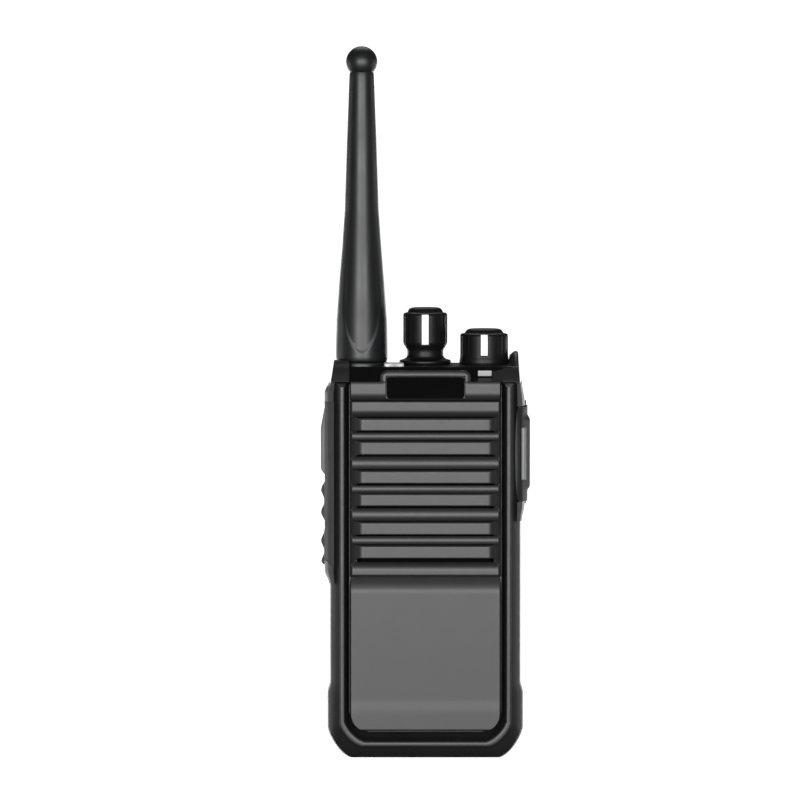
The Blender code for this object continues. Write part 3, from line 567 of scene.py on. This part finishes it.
def panel_rows():
    """(height, depth, kind of the strip up to the next row) from the panel's foot to its top."""
    rows = []

    def strip(kind, points, after=OPEN):
        for z, depth in points[:-1]:
            rows.append((z, depth, kind))
        z, depth = points[-1]
        rows.append((z, depth, after))

    lower = sorted(roll(9.1, 8.57, 0.56, steps=6))
    lower += [(z, 0.0) for z in (9.5, 9.9, 10.4, 11.0, 11.7, 12.5, 13.5)]
    lower += [(14.7, 0.01), (15.2, 0.03), (16.4, 0.09), (17.4, 0.15)]
    lower += [(z, LOWER_FACE) for z in (18.0, 19.0, 30.0, 42.0, 49.6, 50.3)]
    ramp = [0.4 * k for k in range(1, 11)]
    lower += [(50.6 + rise, LOWER_FACE + 0.2 * rise + 0.052 * rise ** 2) for rise in ramp]
    strip(FACE, lower, RIDGE)
    strip(RIDGE, sorted(roll(55.65, 54.95, 0.8, steps=5)) + roll(56.6, 59.25, 3.2))
    for number, (low, high) in enumerate(SLATS):
        under = sorted(roll(low + 0.4, low, 0.42, SLAT_DEPTH, 4))
        strip(BAR, under + roll(high - 0.8, high, 0.9, SLAT_DEPTH, 5))
        if number < len(RIDGES):
            foot, crest, head, radius = RIDGES[number]
            under = sorted(roll(crest, foot, radius, RIDGE_DEPTH, hold=0))
            strip(RIDGE, under + roll(crest, head, radius, RIDGE_DEPTH, hold=0)[1:])
    strip(RIDGE, sorted(roll(104.8, 102.75, 2.5)) + roll(106.95, 107.45, 0.55, steps=5), FACE)
    strip(FACE, [(107.55, 1.68)] + sorted(roll(109.9, 107.65, 3.1)) + roll(112.1, PANEL_TOP, 2.2)
          + [(PANEL_TOP + 0.1, 0.0), (113.9, 0.0)] + roll(115.2, TAB_TOP, 2.5), None)
    return rows


def half_width_at(z):
    """Half the panel's width at a height: round lower corners, and the tab with round upper ones."""
    if z < PANEL_BOTTOM + CORNER_RADIUS:
        half, radius, off = PANEL_HALF_WIDTH, CORNER_RADIUS, PANEL_BOTTOM + CORNER_RADIUS - z
    elif z > TAB_FOOT:
        half, radius, off = TAB_HALF_WIDTH, TAB_RADIUS, max(0.0, z - (TAB_TOP - TAB_RADIUS))
    else:
        return PANEL_HALF_WIDTH
    return half - radius + math.sqrt(max(0.0, radius * radius - off * off))


def end_wall(x):
    """Depth of the sloping wall at the ends of the slats."""
    return FOOT - 0.85 * max(0.0, min(x, WALL_END) - WALL_START) + max(0.0, x - WALL_END) * 2.5


def panel_depth(x, z, depth, zone):
    """How far the panel's face lies behind its front plane."""
    zone = FACE if z < RAMP_TOP else zone
    if zone == BAR:
        if x <= SLAT_END:
            return depth
        if x < WALL_START:
            return depth + (FOOT - depth) * ((x - SLAT_END) / 2.4) ** 1.9
        return end_wall(x)
    if z > 111.0 and x <= 12.0:
        return depth if z > 115 else 0.0
    if z > TAB_FOOT:
        return depth + 0.5 * ((x - 12.0) / 1.5) ** 2
    reach = 21.7 if zone == RIDGE else WALL_END
    if x > reach:
        rolled = depth + 0.9 * ((x - reach) / (PANEL_HALF_WIDTH - reach)) ** 2
        return min(rolled, end_wall(x)) if zone == RIDGE else rolled
    if zone == RIDGE and x >= WALL_START:
        return min(depth, end_wall(x))
    return depth


def make_panel():
    """A grid with open cells at the slits, so that the speaker cloth shows through them."""
    half = (0.0, 6.0, 11.8, 11.95, 12.4, 12.8, 13.15, 13.5, 16.0, 18.3, 18.5, 18.9, 19.3, 19.7, 20.1, 20.5,
            20.9, 21.3, 21.7, 21.95, 22.2, 22.4, 22.6)
    columns = [-x for x in reversed(half[1:])] + list(half)
    rows = panel_rows()
    width = len(columns)
    points = []
    for front in (True, False):
        for index, (z, depth, kind) in enumerate(rows):
            below = rows[index - 1][2] if index else FACE
            tab = z > TAB_FOOT
            scale = half_width_at(z) / (TAB_HALF_WIDTH if tab else PANEL_HALF_WIDTH)
            zone = next((k for k in (BAR, RIDGE) if k in (kind, below)), FACE)
            for x in columns:
                recess = panel_depth(abs(x), z, depth, zone)
                if abs(x) <= 11.85 and 108.05 < z < 114.85:
                    recess = 0.95
                points.append((x * scale, PANEL_FRONT + recess if front else PANEL_BACK, z))

    def present(column, row):
        if not (0 <= column < width - 1 and 0 <= row < len(rows) - 1):
            return False
        outer = max(abs(columns[column]), abs(columns[column + 1]))
        if rows[row][0] > PANEL_TOP - 0.01:
            return outer <= TAB_HALF_WIDTH
        return not (rows[row][2] == OPEN and outer <= 20.55)

    back = width * len(rows)
    faces = []
    for row in range(len(rows) - 1):
        for column in range(width - 1):
            if not present(column, row):
                continue
            a = row * width + column
            quad = (a, a + 1, a + 1 + width, a + width)
            faces.append(quad)
            faces.append(tuple(back + i for i in reversed(quad)))
            for near, (dc, dr) in zip((0, 1, 2, 3), ((0, -1), (1, 0), (0, 1), (-1, 0))):
                if not present(column + dc, row + dr):
                    i, j = quad[near], quad[(near + 1) % 4]
                    faces.append((j, i, back + i, back + j))
    panel = solid("front_cover", points, faces, 40)
    piece(panel, "radio", "panel_plastic", "front_panel")
    outline = [(-11.6, 108.3), (11.6, 108.3), (11.6, 114.6), (-11.6, 114.6)]
    outline = soften(outline, 1.0, 6)
    badge = prism("badge_lens", outline, PANEL_FRONT - 0.1, PANEL_FRONT + 0.75)
    edges(badge, 0.18, 3)
    piece(badge, "radio", "gloss_black", "badge_plate")


# ---- antenna ----
def sheath_radius(z):
    """Outer radius of the rubber sheath: wide at the foot, slim below the ball tip."""
    knots = ((118.9, 7.85), (124, 7.8), (131, 7.6), (142, 6.8), (153, 5.9), (164, 5.12), (185, 4.42),
             (196, 4.0), (203, 3.75), (206, 3.8))
    for (z0, r0), (z1, r1) in zip(knots, knots[1:]):
        if z <= z1:
            t = (z - z0) / (z1 - z0)
            return r0 + (r1 - r0) * t
    return knots[-1][1]


def scoop(radius, angle, z):
    """Sink a long U-shaped face into the front of the sheath. It fades out up the shaft."""
    if not 119.5 < z < 172 or radius < 3.2:
        return radius
    front = angle + math.pi / 2
    front = math.atan2(math.sin(front), math.cos(front))
    across = abs(radius * math.sin(front))
    if math.cos(front) <= 0:
        return radius
    rise = z - 121.6
    if rise <= 0:
        return radius
    half = min(5.3 * (1 - math.exp(-rise / 4.3)) + 0.8 * (1 - math.exp(-rise / 0.3)), 0.84 * radius)
    edge = min(max((half - across) / 0.8, 0.0), 1.0)
    edge = edge * edge * (3 - 2 * edge)
    fade = min(max((168 - z) / 34.0, 0.0), 1.0)
    return radius - 0.24 * edge * fade


def make_antenna():
    """The rubber sheath with its ball tip, and the collar under it."""
    centre = (ANTENNA_X, CONTROL_Y, 0)
    ball = 4.7
    middle = ANTENNA_TOP - ball
    turns = [math.pi * i / 26 for i in range(20)]
    profile = [(ball * math.sin(a), middle + ball * math.cos(a)) for a in turns]
    profile += [(3.6, 205.2), (3.68, 204.4), (3.72, 203.6)]
    z = 202.5
    while z > 172:
        profile.append((sheath_radius(z), z))
        z -= 3.0
    while z > 119.6:
        profile.append((sheath_radius(z), z))
        z -= 0.55
    profile += [(7.7, 119.3), (7.6, 119.0), (7.3, 118.72), (2.9, 118.72), (2.9, 198.0), (0, 198.0)]
    sheath = turned("antenna_skin", profile, centre, 160, shape=scoop, angle=50)
    piece(sheath, "antenna", "antenna_rubber", "antenna_sheath")
    ring = soften([(7.2, 118.66), (7.75, 118.55), (7.95, 117.1), (4.4, 117.1), (4.4, 118.66)], 0.25, 3)
    ring.append(ring[0])
    seal = turned("antenna_collar", ring, centre, 96)
    piece(seal, "antenna_lift", "rubber", "antenna_seal", finish="antenna_rubber")


# ---- knobs ----
def fluted(low, high, flat, depth=0.28, count=20):
    """Shape for a knob: a flat facet at the front and grip flutes round the rest."""
    def shape(radius, angle, z):
        front = math.atan2(math.sin(angle + math.pi / 2), math.cos(angle + math.pi / 2))
        if not low < z < high or radius < 4.5:
            return radius
        fade = min(1.0, (z - low) / 0.8, (high - z) / 0.6)
        if abs(front) < 0.6:
            facet = flat / math.cos(front)
            return radius + (min(radius, facet) - radius) * fade
        wave = math.cos(front * count) * 0.5 + 0.5
        return radius - depth * fade * wave ** 4 * min(1.0, (abs(front) - 0.6) / 0.1)
    return shape


def make_knob(name, x, profile, shaft_top, flute, marker, flat, foot):
    """A knob over its shaft, with a pointer bar set into its front facet."""
    centre = (x, CONTROL_Y, 0)
    outer = soften(profile, 0.3, 3, closed=False)
    dense = []
    for (r0, z0), (r1, z1) in zip(outer, outer[1:]):
        pieces = max(1, int(abs(z1 - z0) / 0.6))
        dense += [(r0 + (r1 - r0) * k / pieces, z0 + (z1 - z0) * k / pieces) for k in range(pieces)]
    dense.append(outer[-1])
    bore = [(foot - 0.3, 118.0), (5.3, 118.0), (5.3, 120.8), (2.6, 120.8), (2.6, shaft_top + 0.3),
            (0, shaft_top + 0.3)]
    knob = turned(name + "_grip", dense + bore, centre, 168, shape=fluted(*flute, flat), angle=28)
    low, high = marker
    front = CONTROL_Y - flat
    slot = block("slot", (x - 1.35, front - 3, low - 0.25), (x + 1.25, front + 0.7, high + 0.25))
    carve(knob, [slot], angle=28)
    piece(knob, name + "_knob", "knob_plastic", name + "_knob")
    bar = block(name + "_line", (x - 1.1, front - 0.28, low), (x + 1.0, front + 0.6, high), 0.2)
    piece(bar, name + "_knob", "white_plastic", name + "_marker")


def make_knobs():
    channel = [(0, 135.0), (3.6, 135.0), (4.6, 134.75), (5.1, 134.2), (5.35, 133.5), (6.3, 133.35),
               (6.7, 132.8), (6.7, 124.4), (6.3, 123.5), (5.65, 122.6), (5.45, 121.9), (5.45, 120.7),
               (5.6, 120.0), (6.3, 119.5), (7.75, 119.1), (7.8, 118.3), (7.4, 118.0)]
    make_knob("channel", CHANNEL_X, channel, 127.0, (123.4, 133.4), (124.0, 133.0), 6.58, 7.7)
    volume = [(0, 128.6), (4.2, 128.6), (5.1, 128.35), (5.6, 127.7), (5.85, 127.25), (6.9, 127.1),
              (7.25, 126.6), (7.25, 120.1), (7.4, 119.5), (7.5, 118.5), (7.3, 118.0)]
    make_knob("volume", VOLUME_X, volume, 124.4, (120.2, 127.2), (120.7, 127.0), 7.13, 7.4)
    lens = block("status_lens", (-12.4, -14.2, 114.5), (-6.4, -12.3, 118.7), 0.5, 4)
    piece(lens, "radio", "light_pipe", "led_lens")


# ---- side keys and accessory cover ----
SIDE_INNER = [(28.9, -4.0), (28.9, -15.55), (28.25, -18.15), (27.25, -19.5)]


def ease(t):
    """A share of the way that starts and ends gently."""
    return t * t * (3 - 2 * t)


def side_sections(thin, full, levels, side, crease=0.6):
    """Cross-sections up a side frame: levels are (height, share of the full form)."""
    sections = []
    for z, share in levels:
        outer = [(a[0] + (b[0] - a[0]) * share, a[1] + (b[1] - a[1]) * share) for a, b in zip(thin, full)]
        loop = soften(SIDE_INNER + outer, crease, 3)
        sections.append([(side * x, y, z) for x, y in loop])
    return sections


def tapered(low, low_full, high_full, high):
    """Heights and shares for a frame that swells from its ends to its full form."""
    steps = 6
    rise = [(low + (low_full - low) * k / steps, ease(k / steps)) for k in range(steps + 1)]
    fall = [(high_full + (high - high_full) * k / steps, 1 - ease(k / steps)) for k in range(steps + 1)]
    return rise + fall


def make_key(name, low, high, body, node, peaks=(), finish=None):
    """A crowned rubber key with an edge roll-off and raised finger ribs."""
    rows, columns = 60, 14
    points, faces = [], []
    middle = (low + high) / 2
    for r in range(rows + 1):
        for c in range(columns + 1):
            u, v = r / rows, c / columns
            crown = min(1.0, (1 - abs(2 * u - 1) ** 12)) ** 0.5 * (1 - abs(2 * v - 1) ** 6) ** 0.5
            z = low + (high - low) * u
            bump = sum(0.95 * math.exp(-((z - peak) / 1.7) ** 2) for peak in peaks)
            pad = ease(min(1.0, max(0.0, (z - 84.6) / 2.0))) * ease(min(1.0, max(0.0, (105.0 - z) / 7.0)))
            face = 30.4 + bump if peaks else 30.55 + 0.9 * pad
            x = 29.4 + (face - 29.4) * crown
            points.append((-x, KEY_Y[0] + (KEY_Y[1] - KEY_Y[0]) * v, z))
    count = len(points)
    points += [(-27.4, y, z) for _, y, z in points]
    across = columns + 1
    for r in range(rows):
        for c in range(columns):
            a = r * across + c
            quad = (a, a + 1, a + 1 + across, a + across)
            faces += [quad, tuple(count + i for i in reversed(quad))]
    rim = list(range(across)) + [r * across + columns for r in range(1, rows + 1)]
    rim += [rows * across + c for c in range(columns - 1, -1, -1)]
    rim += [r * across for r in range(rows - 1, 0, -1)]
    for i, j in zip(rim, rim[1:] + rim[:1]):
        faces.append((j, i, count + i, count + j))
    key = solid(name, points, faces, 40)
    stem = block(name + "_stem", (-28.0, -11.0, middle - 1.5), (-25.9, -8.0, middle + 1.5))
    carve(key, additions=[stem], angle=40)
    piece(key, body, "rubber", node, finish=finish)


def make_left_side():
    """The frame of the talk key, the rubber round it and its three keys."""
    full = [(27.35, -19.85), (29.0, -17.7), (30.2, -14.4), (30.4, -6.0), (29.9, -4.2)]
    thin = [(27.3, -19.7), (28.3, -18.3), (28.95, -15.6), (29.0, -6.0), (28.98, -4.05)]
    bezel = loft("talk_frame", side_sections(thin, full, tapered(52.5, 56.2, 109.4, 112.8), -1))
    frame_cut = [(-33, 107.12), (-26, 107.12), (-26, 56.7), (-33, 61.6)]
    cutters = [prism("cut_surround", frame_cut, -22, -14.2)]
    for low, high in ((84.3, 105.7), (70.6, 83.1), (57.7, 69.4)):
        near, far = KEY_Y[0] - 0.3, KEY_Y[1] + 0.3
        cutters.append(block(f"cut_{low}", (-33, near, low - 0.3), (-26, far, high + 0.3)))
    carve(bezel, cutters)
    piece(bezel, "radio", "casing_plastic", "ptt_bezel")
    strip = [(28.9, -14.5), (28.9, -15.55), (28.25, -18.15), (27.25, -19.5), (27.35, -19.95), (29.0, -17.8),
             (29.95, -14.5)]
    sections = []
    for z, share, slant in ((57.75, 0.8, 0.7), (57.95, 0.95, 0.7), (58.4, 1.0, 0.7), (106.5, 1.0, 0.0),
                            (106.85, 0.95, 0.0), (107.05, 0.8, 0.0)):
        loop = strip[:4] + [(x - 0.3 * (1 - share), y + 0.3 * (1 - share)) for x, y in strip[4:]]
        sections.append([(-x, y, z + slant * (x - 27.3)) for x, y in loop])
    surround = loft("key_rubber", sections)
    piece(surround, "radio", "rubber", "key_surround")
    make_key("talk_key", 84.3, 105.7, "ptt_button", "ptt_button", finish="key_rubber")
    make_key("upper_key", 70.6, 83.1, "side_key_upper", "side_key_upper", (80.3, 73.6))
    make_key("lower_key", 57.7, 69.4, "side_key_lower", "side_key_lower", (65.0, 58.6))


def make_right_side():
    """The accessory socket's frame and its hinged cover with a grey bar."""
    full = [(27.35, -19.85), (29.0, -17.7), (29.8, -14.4), (29.9, -6.0), (29.6, -4.2)]
    thin = [(27.3, -19.7), (28.4, -18.3), (29.0, -15.6), (29.05, -6.0), (29.0, -4.05)]
    bezel = loft("cover_frame", side_sections(thin, full, tapered(71.3, 76.2, 106.6, 112.8), 1, 0.4))
    carve(bezel, [block("cut_cover", (26, -22, 77.2), (33, -5.0, 105.8)),
                  drill("cut_pin", 0.75, 75.0, 108.0, (*COVER_PIN, 0), "Z", 24)])
    piece(bezel, "radio", "casing_plastic", "accessory_bezel")
    low, high = 77.23, 105.77
    sections = []
    for k in range(41):
        t = k / 40
        swell = math.sin(math.pi * t) ** 0.45
        z = low + (high - low) * (1 - math.cos(math.pi * t)) / 2
        wide = ease(min(1.0, max(0.0, (z - 80.4) / 1.3))) * ease(min(1.0, max(0.0, (103.0 - z) / 1.3)))
        reach = 0.62 * min(1.0, 0.4 + math.sin(math.pi * t) * 4) + 0.38 * wide
        front = 28.3 - 1.5 * swell
        strip = [(29.1, -5.5), (29.1, -15.6), (28.0, -17.6), (front + 0.35, -18.9), (front, -19.75),
                 (28.6, -18.95 + 0.5 * (1 - swell)), (29.2, -18.3), (29.4 + 2.0 * reach, -15.0),
                 (29.4 + 2.1 * reach, -7.4), (29.4 + 1.65 * reach, -6.1), (29.4 + 0.9 * reach, -5.5)]
        sections.append([(x, y, z) for x, y in soften(strip, 0.35, 2)])
    cover = loft("socket_cover", sections)
    carve(cover, [drill("cover_bore", 0.75, 70, 112, (*COVER_PIN, 0), "Z", 24),
                  block("cover_slot", (28.55, -20.0, 83.7), (30.3, -17.2, 99.5))])
    piece(cover, "accessory_cover", "casing_plastic", "accessory_cover")
    bar = [(28.65, -17.25), (28.65, -18.5), (29.1, -19.0), (29.6, -18.9), (30.2, -17.9), (30.2, -17.25)]
    bar = soften(bar, 0.3, 3)
    levels = ((83.8, 0.9), (84.0, 0.98), (84.3, 1.0), (98.9, 1.0), (99.2, 0.98), (99.4, 0.9))
    middle = (29.4, -17.6)
    sections = [[(middle[0] + (x - middle[0]) * s, middle[1] + (y - middle[1]) * s, z) for x, y in bar]
                for z, s in levels]
    insert = loft("cover_bar", sections)
    piece(insert, "accessory_cover", "pale_plastic", "cover_insert", finish="grey_plastic")


# ---- back: cover, pack, latch and clip ----
def make_rear_cover():
    """The rear half of the head, with finger grips and the latch's opening."""
    head = {"bumper": 0.0, "corner": (1.0, 1.0), "sides": ()}
    outer = dict(head, bottom=98.7)
    inner = dict(head, bottom=100.7, top=115.2, top_corner=(2.0, 6.0))
    sections = [
        casing_outline(REAR_Y - 2.0, inset=2.6, **inner),
        casing_outline(HEAD_Y + SEAM, inset=2.2, **inner),
        casing_outline(HEAD_Y + SEAM, inset=0.35, **outer),
        casing_outline(HEAD_Y + 0.3, inset=0.2, **outer),
    ]
    for k in range(7):
        a = math.pi / 2 * k / 6
        shrink = 2.4 * (1 - math.cos(a))
        sections.append(casing_outline(REAR_Y - 2.6 + 2.6 * math.sin(a), inset=0.2 + shrink * 0.9,
                                       **dict(outer, top=TOP - shrink, bottom=98.7 + shrink * 0.15)))
    cover = loft("head_cover", sections)
    cutters = [block("cut_latch", (-6.3, 11, 101.2), (6.3, 16, 105.3)),
               block("cut_spring", (-4.2, 7.8, 97), (4.2, 12.2, 101.1))]
    for x in (-6.0, 6.0):
        cutters.append(drill("cut_clip", 1.4, -16, -11, (x, 0, 107.2), "Y", 32))
    for x in (-22.0, 22.0):
        for z in (102.5, 105.0, 107.5, 110.0):
            low, high = (x - 4.2, REAR_Y - 0.35, z - 0.45), (x + 4.2, REAR_Y + 2, z + 0.45)
            cutters.append(block("cut_grip", low, high))
    carve(cover, cutters)
    piece(cover, "radio", "casing_plastic", "rear_cover")


def make_gasket():
    """The rubber ring squeezed between the casing and the chassis."""
    outer = {"inset": 0.5, "bottom": 0.5, "top": PACK_TOP - 0.3, "top_corner": (1.0, 1.0),
             "sides": PACK_LEVELS}
    inner = dict(outer, inset=1.6, bottom=1.6, top=PACK_TOP - 1.5)
    front, back = PARTING_Y + SEAM, CHASSIS_Y - SEAM
    corners = ((outer, front), (outer, back), (inner, back), (inner, front))
    ring = [casing_outline(y, **rim) for rim, y in corners]
    piece(loft("gasket", ring, ring=True), "radio", "rubber", "housing_seal")


def make_pack():
    """The battery pack: a lid with rail slots, and a case with grip ribs and a label recess."""
    rim = {"inset": 0.3, "top": PACK_TOP + 0.3, "top_corner": (1.0, 1.0), "sides": PACK_LEVELS}
    front, seam_front, seam_back, back = PACK_Y
    lid = loft("pack_lid", [casing_outline(front, **rim), casing_outline(seam_front - 0.25, **rim),
                            casing_outline(seam_front, **dict(rim, inset=0.55, bottom=0.25))])
    cutters = []
    for x in (-20.0, 20.0):
        cutters.append(block("cut_stem", (x - 0.9, front - 1, 13.5), (x + 0.9, 1.6, 110)))
        cutters.append(block("cut_channel", (x - 1.8, 0.8, 13.5), (x + 1.8, 2.4, 110)))
    cutters.append(block("cut_contacts", (-8.3, front - 1, 86.2), (8.3, 0.7, 91.8)))
    carve(lid, cutters)
    piece(lid, "battery", "casing_plastic", "battery_lid")
    hollow = dict(rim, inset=2.2, bottom=2.0, top=96.7, corner=(6.0, 8.0))
    sections = [
        casing_outline(12.7, **hollow),
        casing_outline(seam_back, **hollow),
        casing_outline(seam_back, **dict(rim, inset=0.55, bottom=0.25)),
        casing_outline(seam_back + 0.25, **rim),
        casing_outline(8.0, **rim),
    ]
    for k in range(8):
        a = math.pi / 2 * k / 7
        shrink = 1 - math.cos(a)
        shape = dict(rim, inset=0.3 + 2.6 * shrink, bottom=2.4 * shrink, top=PACK_TOP - 1.6 * shrink,
                     corner=(7.2 - 0.9 * shrink, 9.5 - 1.1 * shrink))
        sections.append(casing_outline(back - 2.9 + 2.9 * math.sin(a), **shape))
    case = loft("pack_case", sections)
    cutters = [block("cut_notch", (-4.6, 7.4, 95.0), (4.6, 11.0, 99.5)),
               block("cut_label", (-16.5, back - 0.3, 9.0), (16.5, back + 2, 41.0))]
    for side in (-1, 1):
        for k in range(9):
            z = 50.0 + 4.6 * k
            x = sorted((side * 13.0, side * 22.5))
            cutters.append(block("cut_rib", (x[0], back - 0.4, z - 0.6), (x[1], back + 2, z + 0.6)))
    carve(case, cutters)
    piece(case, "battery", "casing_plastic", "battery_case")


def make_latch():
    """The button that frees the pack."""
    button = block("latch_key", (-6.0, 11.45, 101.5), (6.0, 15.3, 105.0), 0.35)
    flange = block("latch_flange", (-7.4, 11.45, 101.5), (7.4, 12.1, 105.0), 0.1)
    levels = (102.5, 103.25, 104.0)
    grooves = [block("cut_latch_rib", (-5.0, 15.0, z - 0.2), (5.0, 16, z + 0.2)) for z in levels]
    carve(button, grooves, [flange])
    piece(button, "latch_button", "casing_plastic", "latch_button")


def make_clip():
    """The belt clip's bracket, its two screws and its lever."""
    bracket = block("clip_base", (-11, 14.8, 105.6), (11, 16.2, 116.2), 0.35)
    y, z = CLIP_PIVOT
    additions = [prism("ear", soften([(15.5, 107.6), (20.2, 109.6), (20.4, 112.6), (15.5, 114.6)], 1.2, 5),
                       x - 0.9, x + 0.9, "X") for x in (-10.1, 10.1)]
    cutters = [drill("cut_clip_pin", 1.15, -12, 12, (0, y, z), "X", 32)]
    cutters += [drill("cut_screw", 1.4, -17, -13, (x, 0, 107.2), "Y", 32) for x in (-6.0, 6.0)]
    carve(bracket, cutters, additions)
    piece(bracket, "radio", "casing_plastic", "clip_bracket")
    for side, x in (("left", -6.0), ("right", 6.0)):
        profile = [(0, -11.4), (1.1, -11.4), (1.1, -16.5), (2.0, -16.5), (1.9, -17.1), (1.5, -17.3),
                   (0, -17.3)]
        screw = turned("clip_fixing_" + side, profile, (x, 0, 107.2), 40, "Y")
        cross = [block("cross", (x - 1.1, 16.9, 106.95), (x + 1.1, 18, 107.45)),
                 block("cross", (x - 0.25, 16.9, 106.1), (x + 0.25, 18, 108.3))]
        carve(screw, cross)
        piece(screw, "radio", "steel", "clip_screw_" + side)
    side = [(20.3, 115.6), (20.3, 51.0), (18.6, 47.6), (15.4, 46.2), (15.3, 45.0), (19.2, 46.0),
            (21.5, 50.5), (21.5, 115.0), (21.0, 115.6)]
    side = soften(side, 1.0, 4)
    widths = ((-9.0, 0.35), (-8.9, 0.12), (-8.65, 0.0), (8.65, 0.0), (8.9, 0.12), (9.0, 0.35))
    centre_y = 20.9
    sections = []
    for x, pinch in widths:
        section = [(x, a + (centre_y - a) * pinch * 0.5 if b > 51 else a, b) for a, b in side]
        sections.append(section)
    lever = loft("clip_blade", sections)
    knuckles = [turned(f"knuckle_{i}", [(0, high), (1.95, high), (1.95, low), (0, low)], (0, y, z), 40, "X")
                for i, (low, high) in enumerate(((-8.8, -5.0), (5.0, 8.8)))]
    cutters = [drill("cut_knuckle", 1.15, -12, 12, (0, y, z), "X", 32)]
    for k in range(5):
        height = 106.5 + 1.7 * k
        cutters.append(block("cut_thumb", (-6.5, 21.25, height - 0.4), (6.5, 22.5, height + 0.4)))
    for x in (-5.2, 5.2):
        cutters.append(block("cut_flute", (x - 0.6, 21.2, 56.0), (x + 0.6, 22.5, 100.0)))
    carve(lever, cutters, knuckles)
    piece(lever, "belt_clip", "casing_plastic", "clip_lever")


# ---- stage, lights and camera ----
def make_stage():
    """A wide white dish: flat floor, curved edge and wall, the same from every side."""
    profile = [(0.0, 0.0), (0.6, 0.0), (1.4, 0.0), (2.6, 0.0)]
    for k in range(1, 13):
        a = math.pi / 2 * k / 12
        profile.append((2.6 + 1.2 * math.sin(a), 1.2 - 1.2 * math.cos(a)))
    profile += [(3.8, 2.6), (3.8, 4.2)]
    steps = 96
    points, faces = [], []
    for i in range(steps):
        a = 2 * math.pi * i / steps
        points += [(r * math.cos(a) / MM, r * math.sin(a) / MM, (z - 0.0002) / MM) for r, z in profile]
    rows = len(profile)
    for i in range(steps):
        first, second = i * rows, (i + 1) % steps * rows
        faces += [(first + k, first + k + 1, second + k + 1, second + k) for k in range(rows - 1)]
    dish = solid("studio_floor", points, faces, 80)
    surface("studio_white", (0.80, 0.80, 0.80), 0.9, specular=0.0, mottle=0.01, cloud=6.0, depth=0.002)
    material = MATERIALS["studio_white"]
    shader = material.node_tree.nodes["Principled BSDF"]
    shader.inputs["Emission Color"].default_value = (1, 1, 1, 1)
    shader.inputs["Emission Strength"].default_value = 1.0
    dish.data.materials.append(material)
    dish.visible_glossy = False
    dish.visible_diffuse = False
    dish.visible_shadow = False


def softbox(name, place, target, size, watts):
    """An area light in metres and watts, turned to the target and hidden from the camera."""
    light = bpy.data.lights.new(name, "AREA")
    light.shape = "RECTANGLE"
    light.size, light.size_y = size
    light.energy = watts
    obj = link(bpy.data.objects.new(name, light))
    obj.location = place
    obj.rotation_euler = (Vector(target) - Vector(place)).to_track_quat("-Z", "Y").to_euler()
    obj.visible_camera = False


def make_lights():
    """Two keys in front, a weak top light, and low lights at the sides and behind."""
    middle = (0.0, 0.0, 0.1)
    softbox("key_left", (-0.36, -1.28, 0.20), middle, (0.50, 0.62), 14.3)
    softbox("key_right", (0.36, -1.28, 0.20), middle, (0.50, 0.62), 11.5)
    softbox("top", (0.0, 1.3, 2.0), middle, (1.6, 1.2), 14)
    softbox("left", (-2.2, 0.75, -0.3), middle, (1.2, 1.2), 8.5)
    softbox("right", (2.2, 0.75, -0.3), middle, (1.2, 1.2), 8.5)
    softbox("back_left", (-0.5, 1.35, -0.25), middle, (0.95, 0.85), 10)
    softbox("back_right", (0.5, 1.35, -0.25), middle, (0.95, 0.85), 10)
    world = bpy.data.worlds.new("studio")
    world.use_nodes = True
    world.node_tree.nodes["Background"].inputs["Color"].default_value = (1, 1, 1, 1)
    world.node_tree.nodes["Background"].inputs["Strength"].default_value = 0.07
    bpy.context.scene.world = world
    bpy.context.scene.view_settings.view_transform = "Standard"


def make_camera():
    """A long lens a little above the middle of the radio."""
    camera = bpy.data.cameras.new("camera")
    camera.lens = LENS
    camera.clip_end = 20
    obj = link(bpy.data.objects.new("camera", camera))
    target = Vector((-0.0076, -0.018, 0.10767))
    distance = HALF_VIEW / (HALF_SENSOR / LENS)
    elevation = math.radians(3.0)
    obj.location = target + Vector((0, -math.cos(elevation), math.sin(elevation))) * distance
    obj.rotation_euler = (target - obj.location).to_track_quat("-Z", "Y").to_euler()
    bpy.context.scene.camera = obj


def main():
    make_casing()
    make_panel()
    make_antenna()
    make_knobs()
    make_left_side()
    make_right_side()
    make_rear_cover()
    make_gasket()
    make_pack()
    make_latch()
    make_clip()
    for name in ("chassis", "contact_block", "accessory_socket", "battery_contacts"):
        edges(frame["nodes"][name], 0.12, 2)
    make_stage()
    make_lights()
    make_camera()


main()
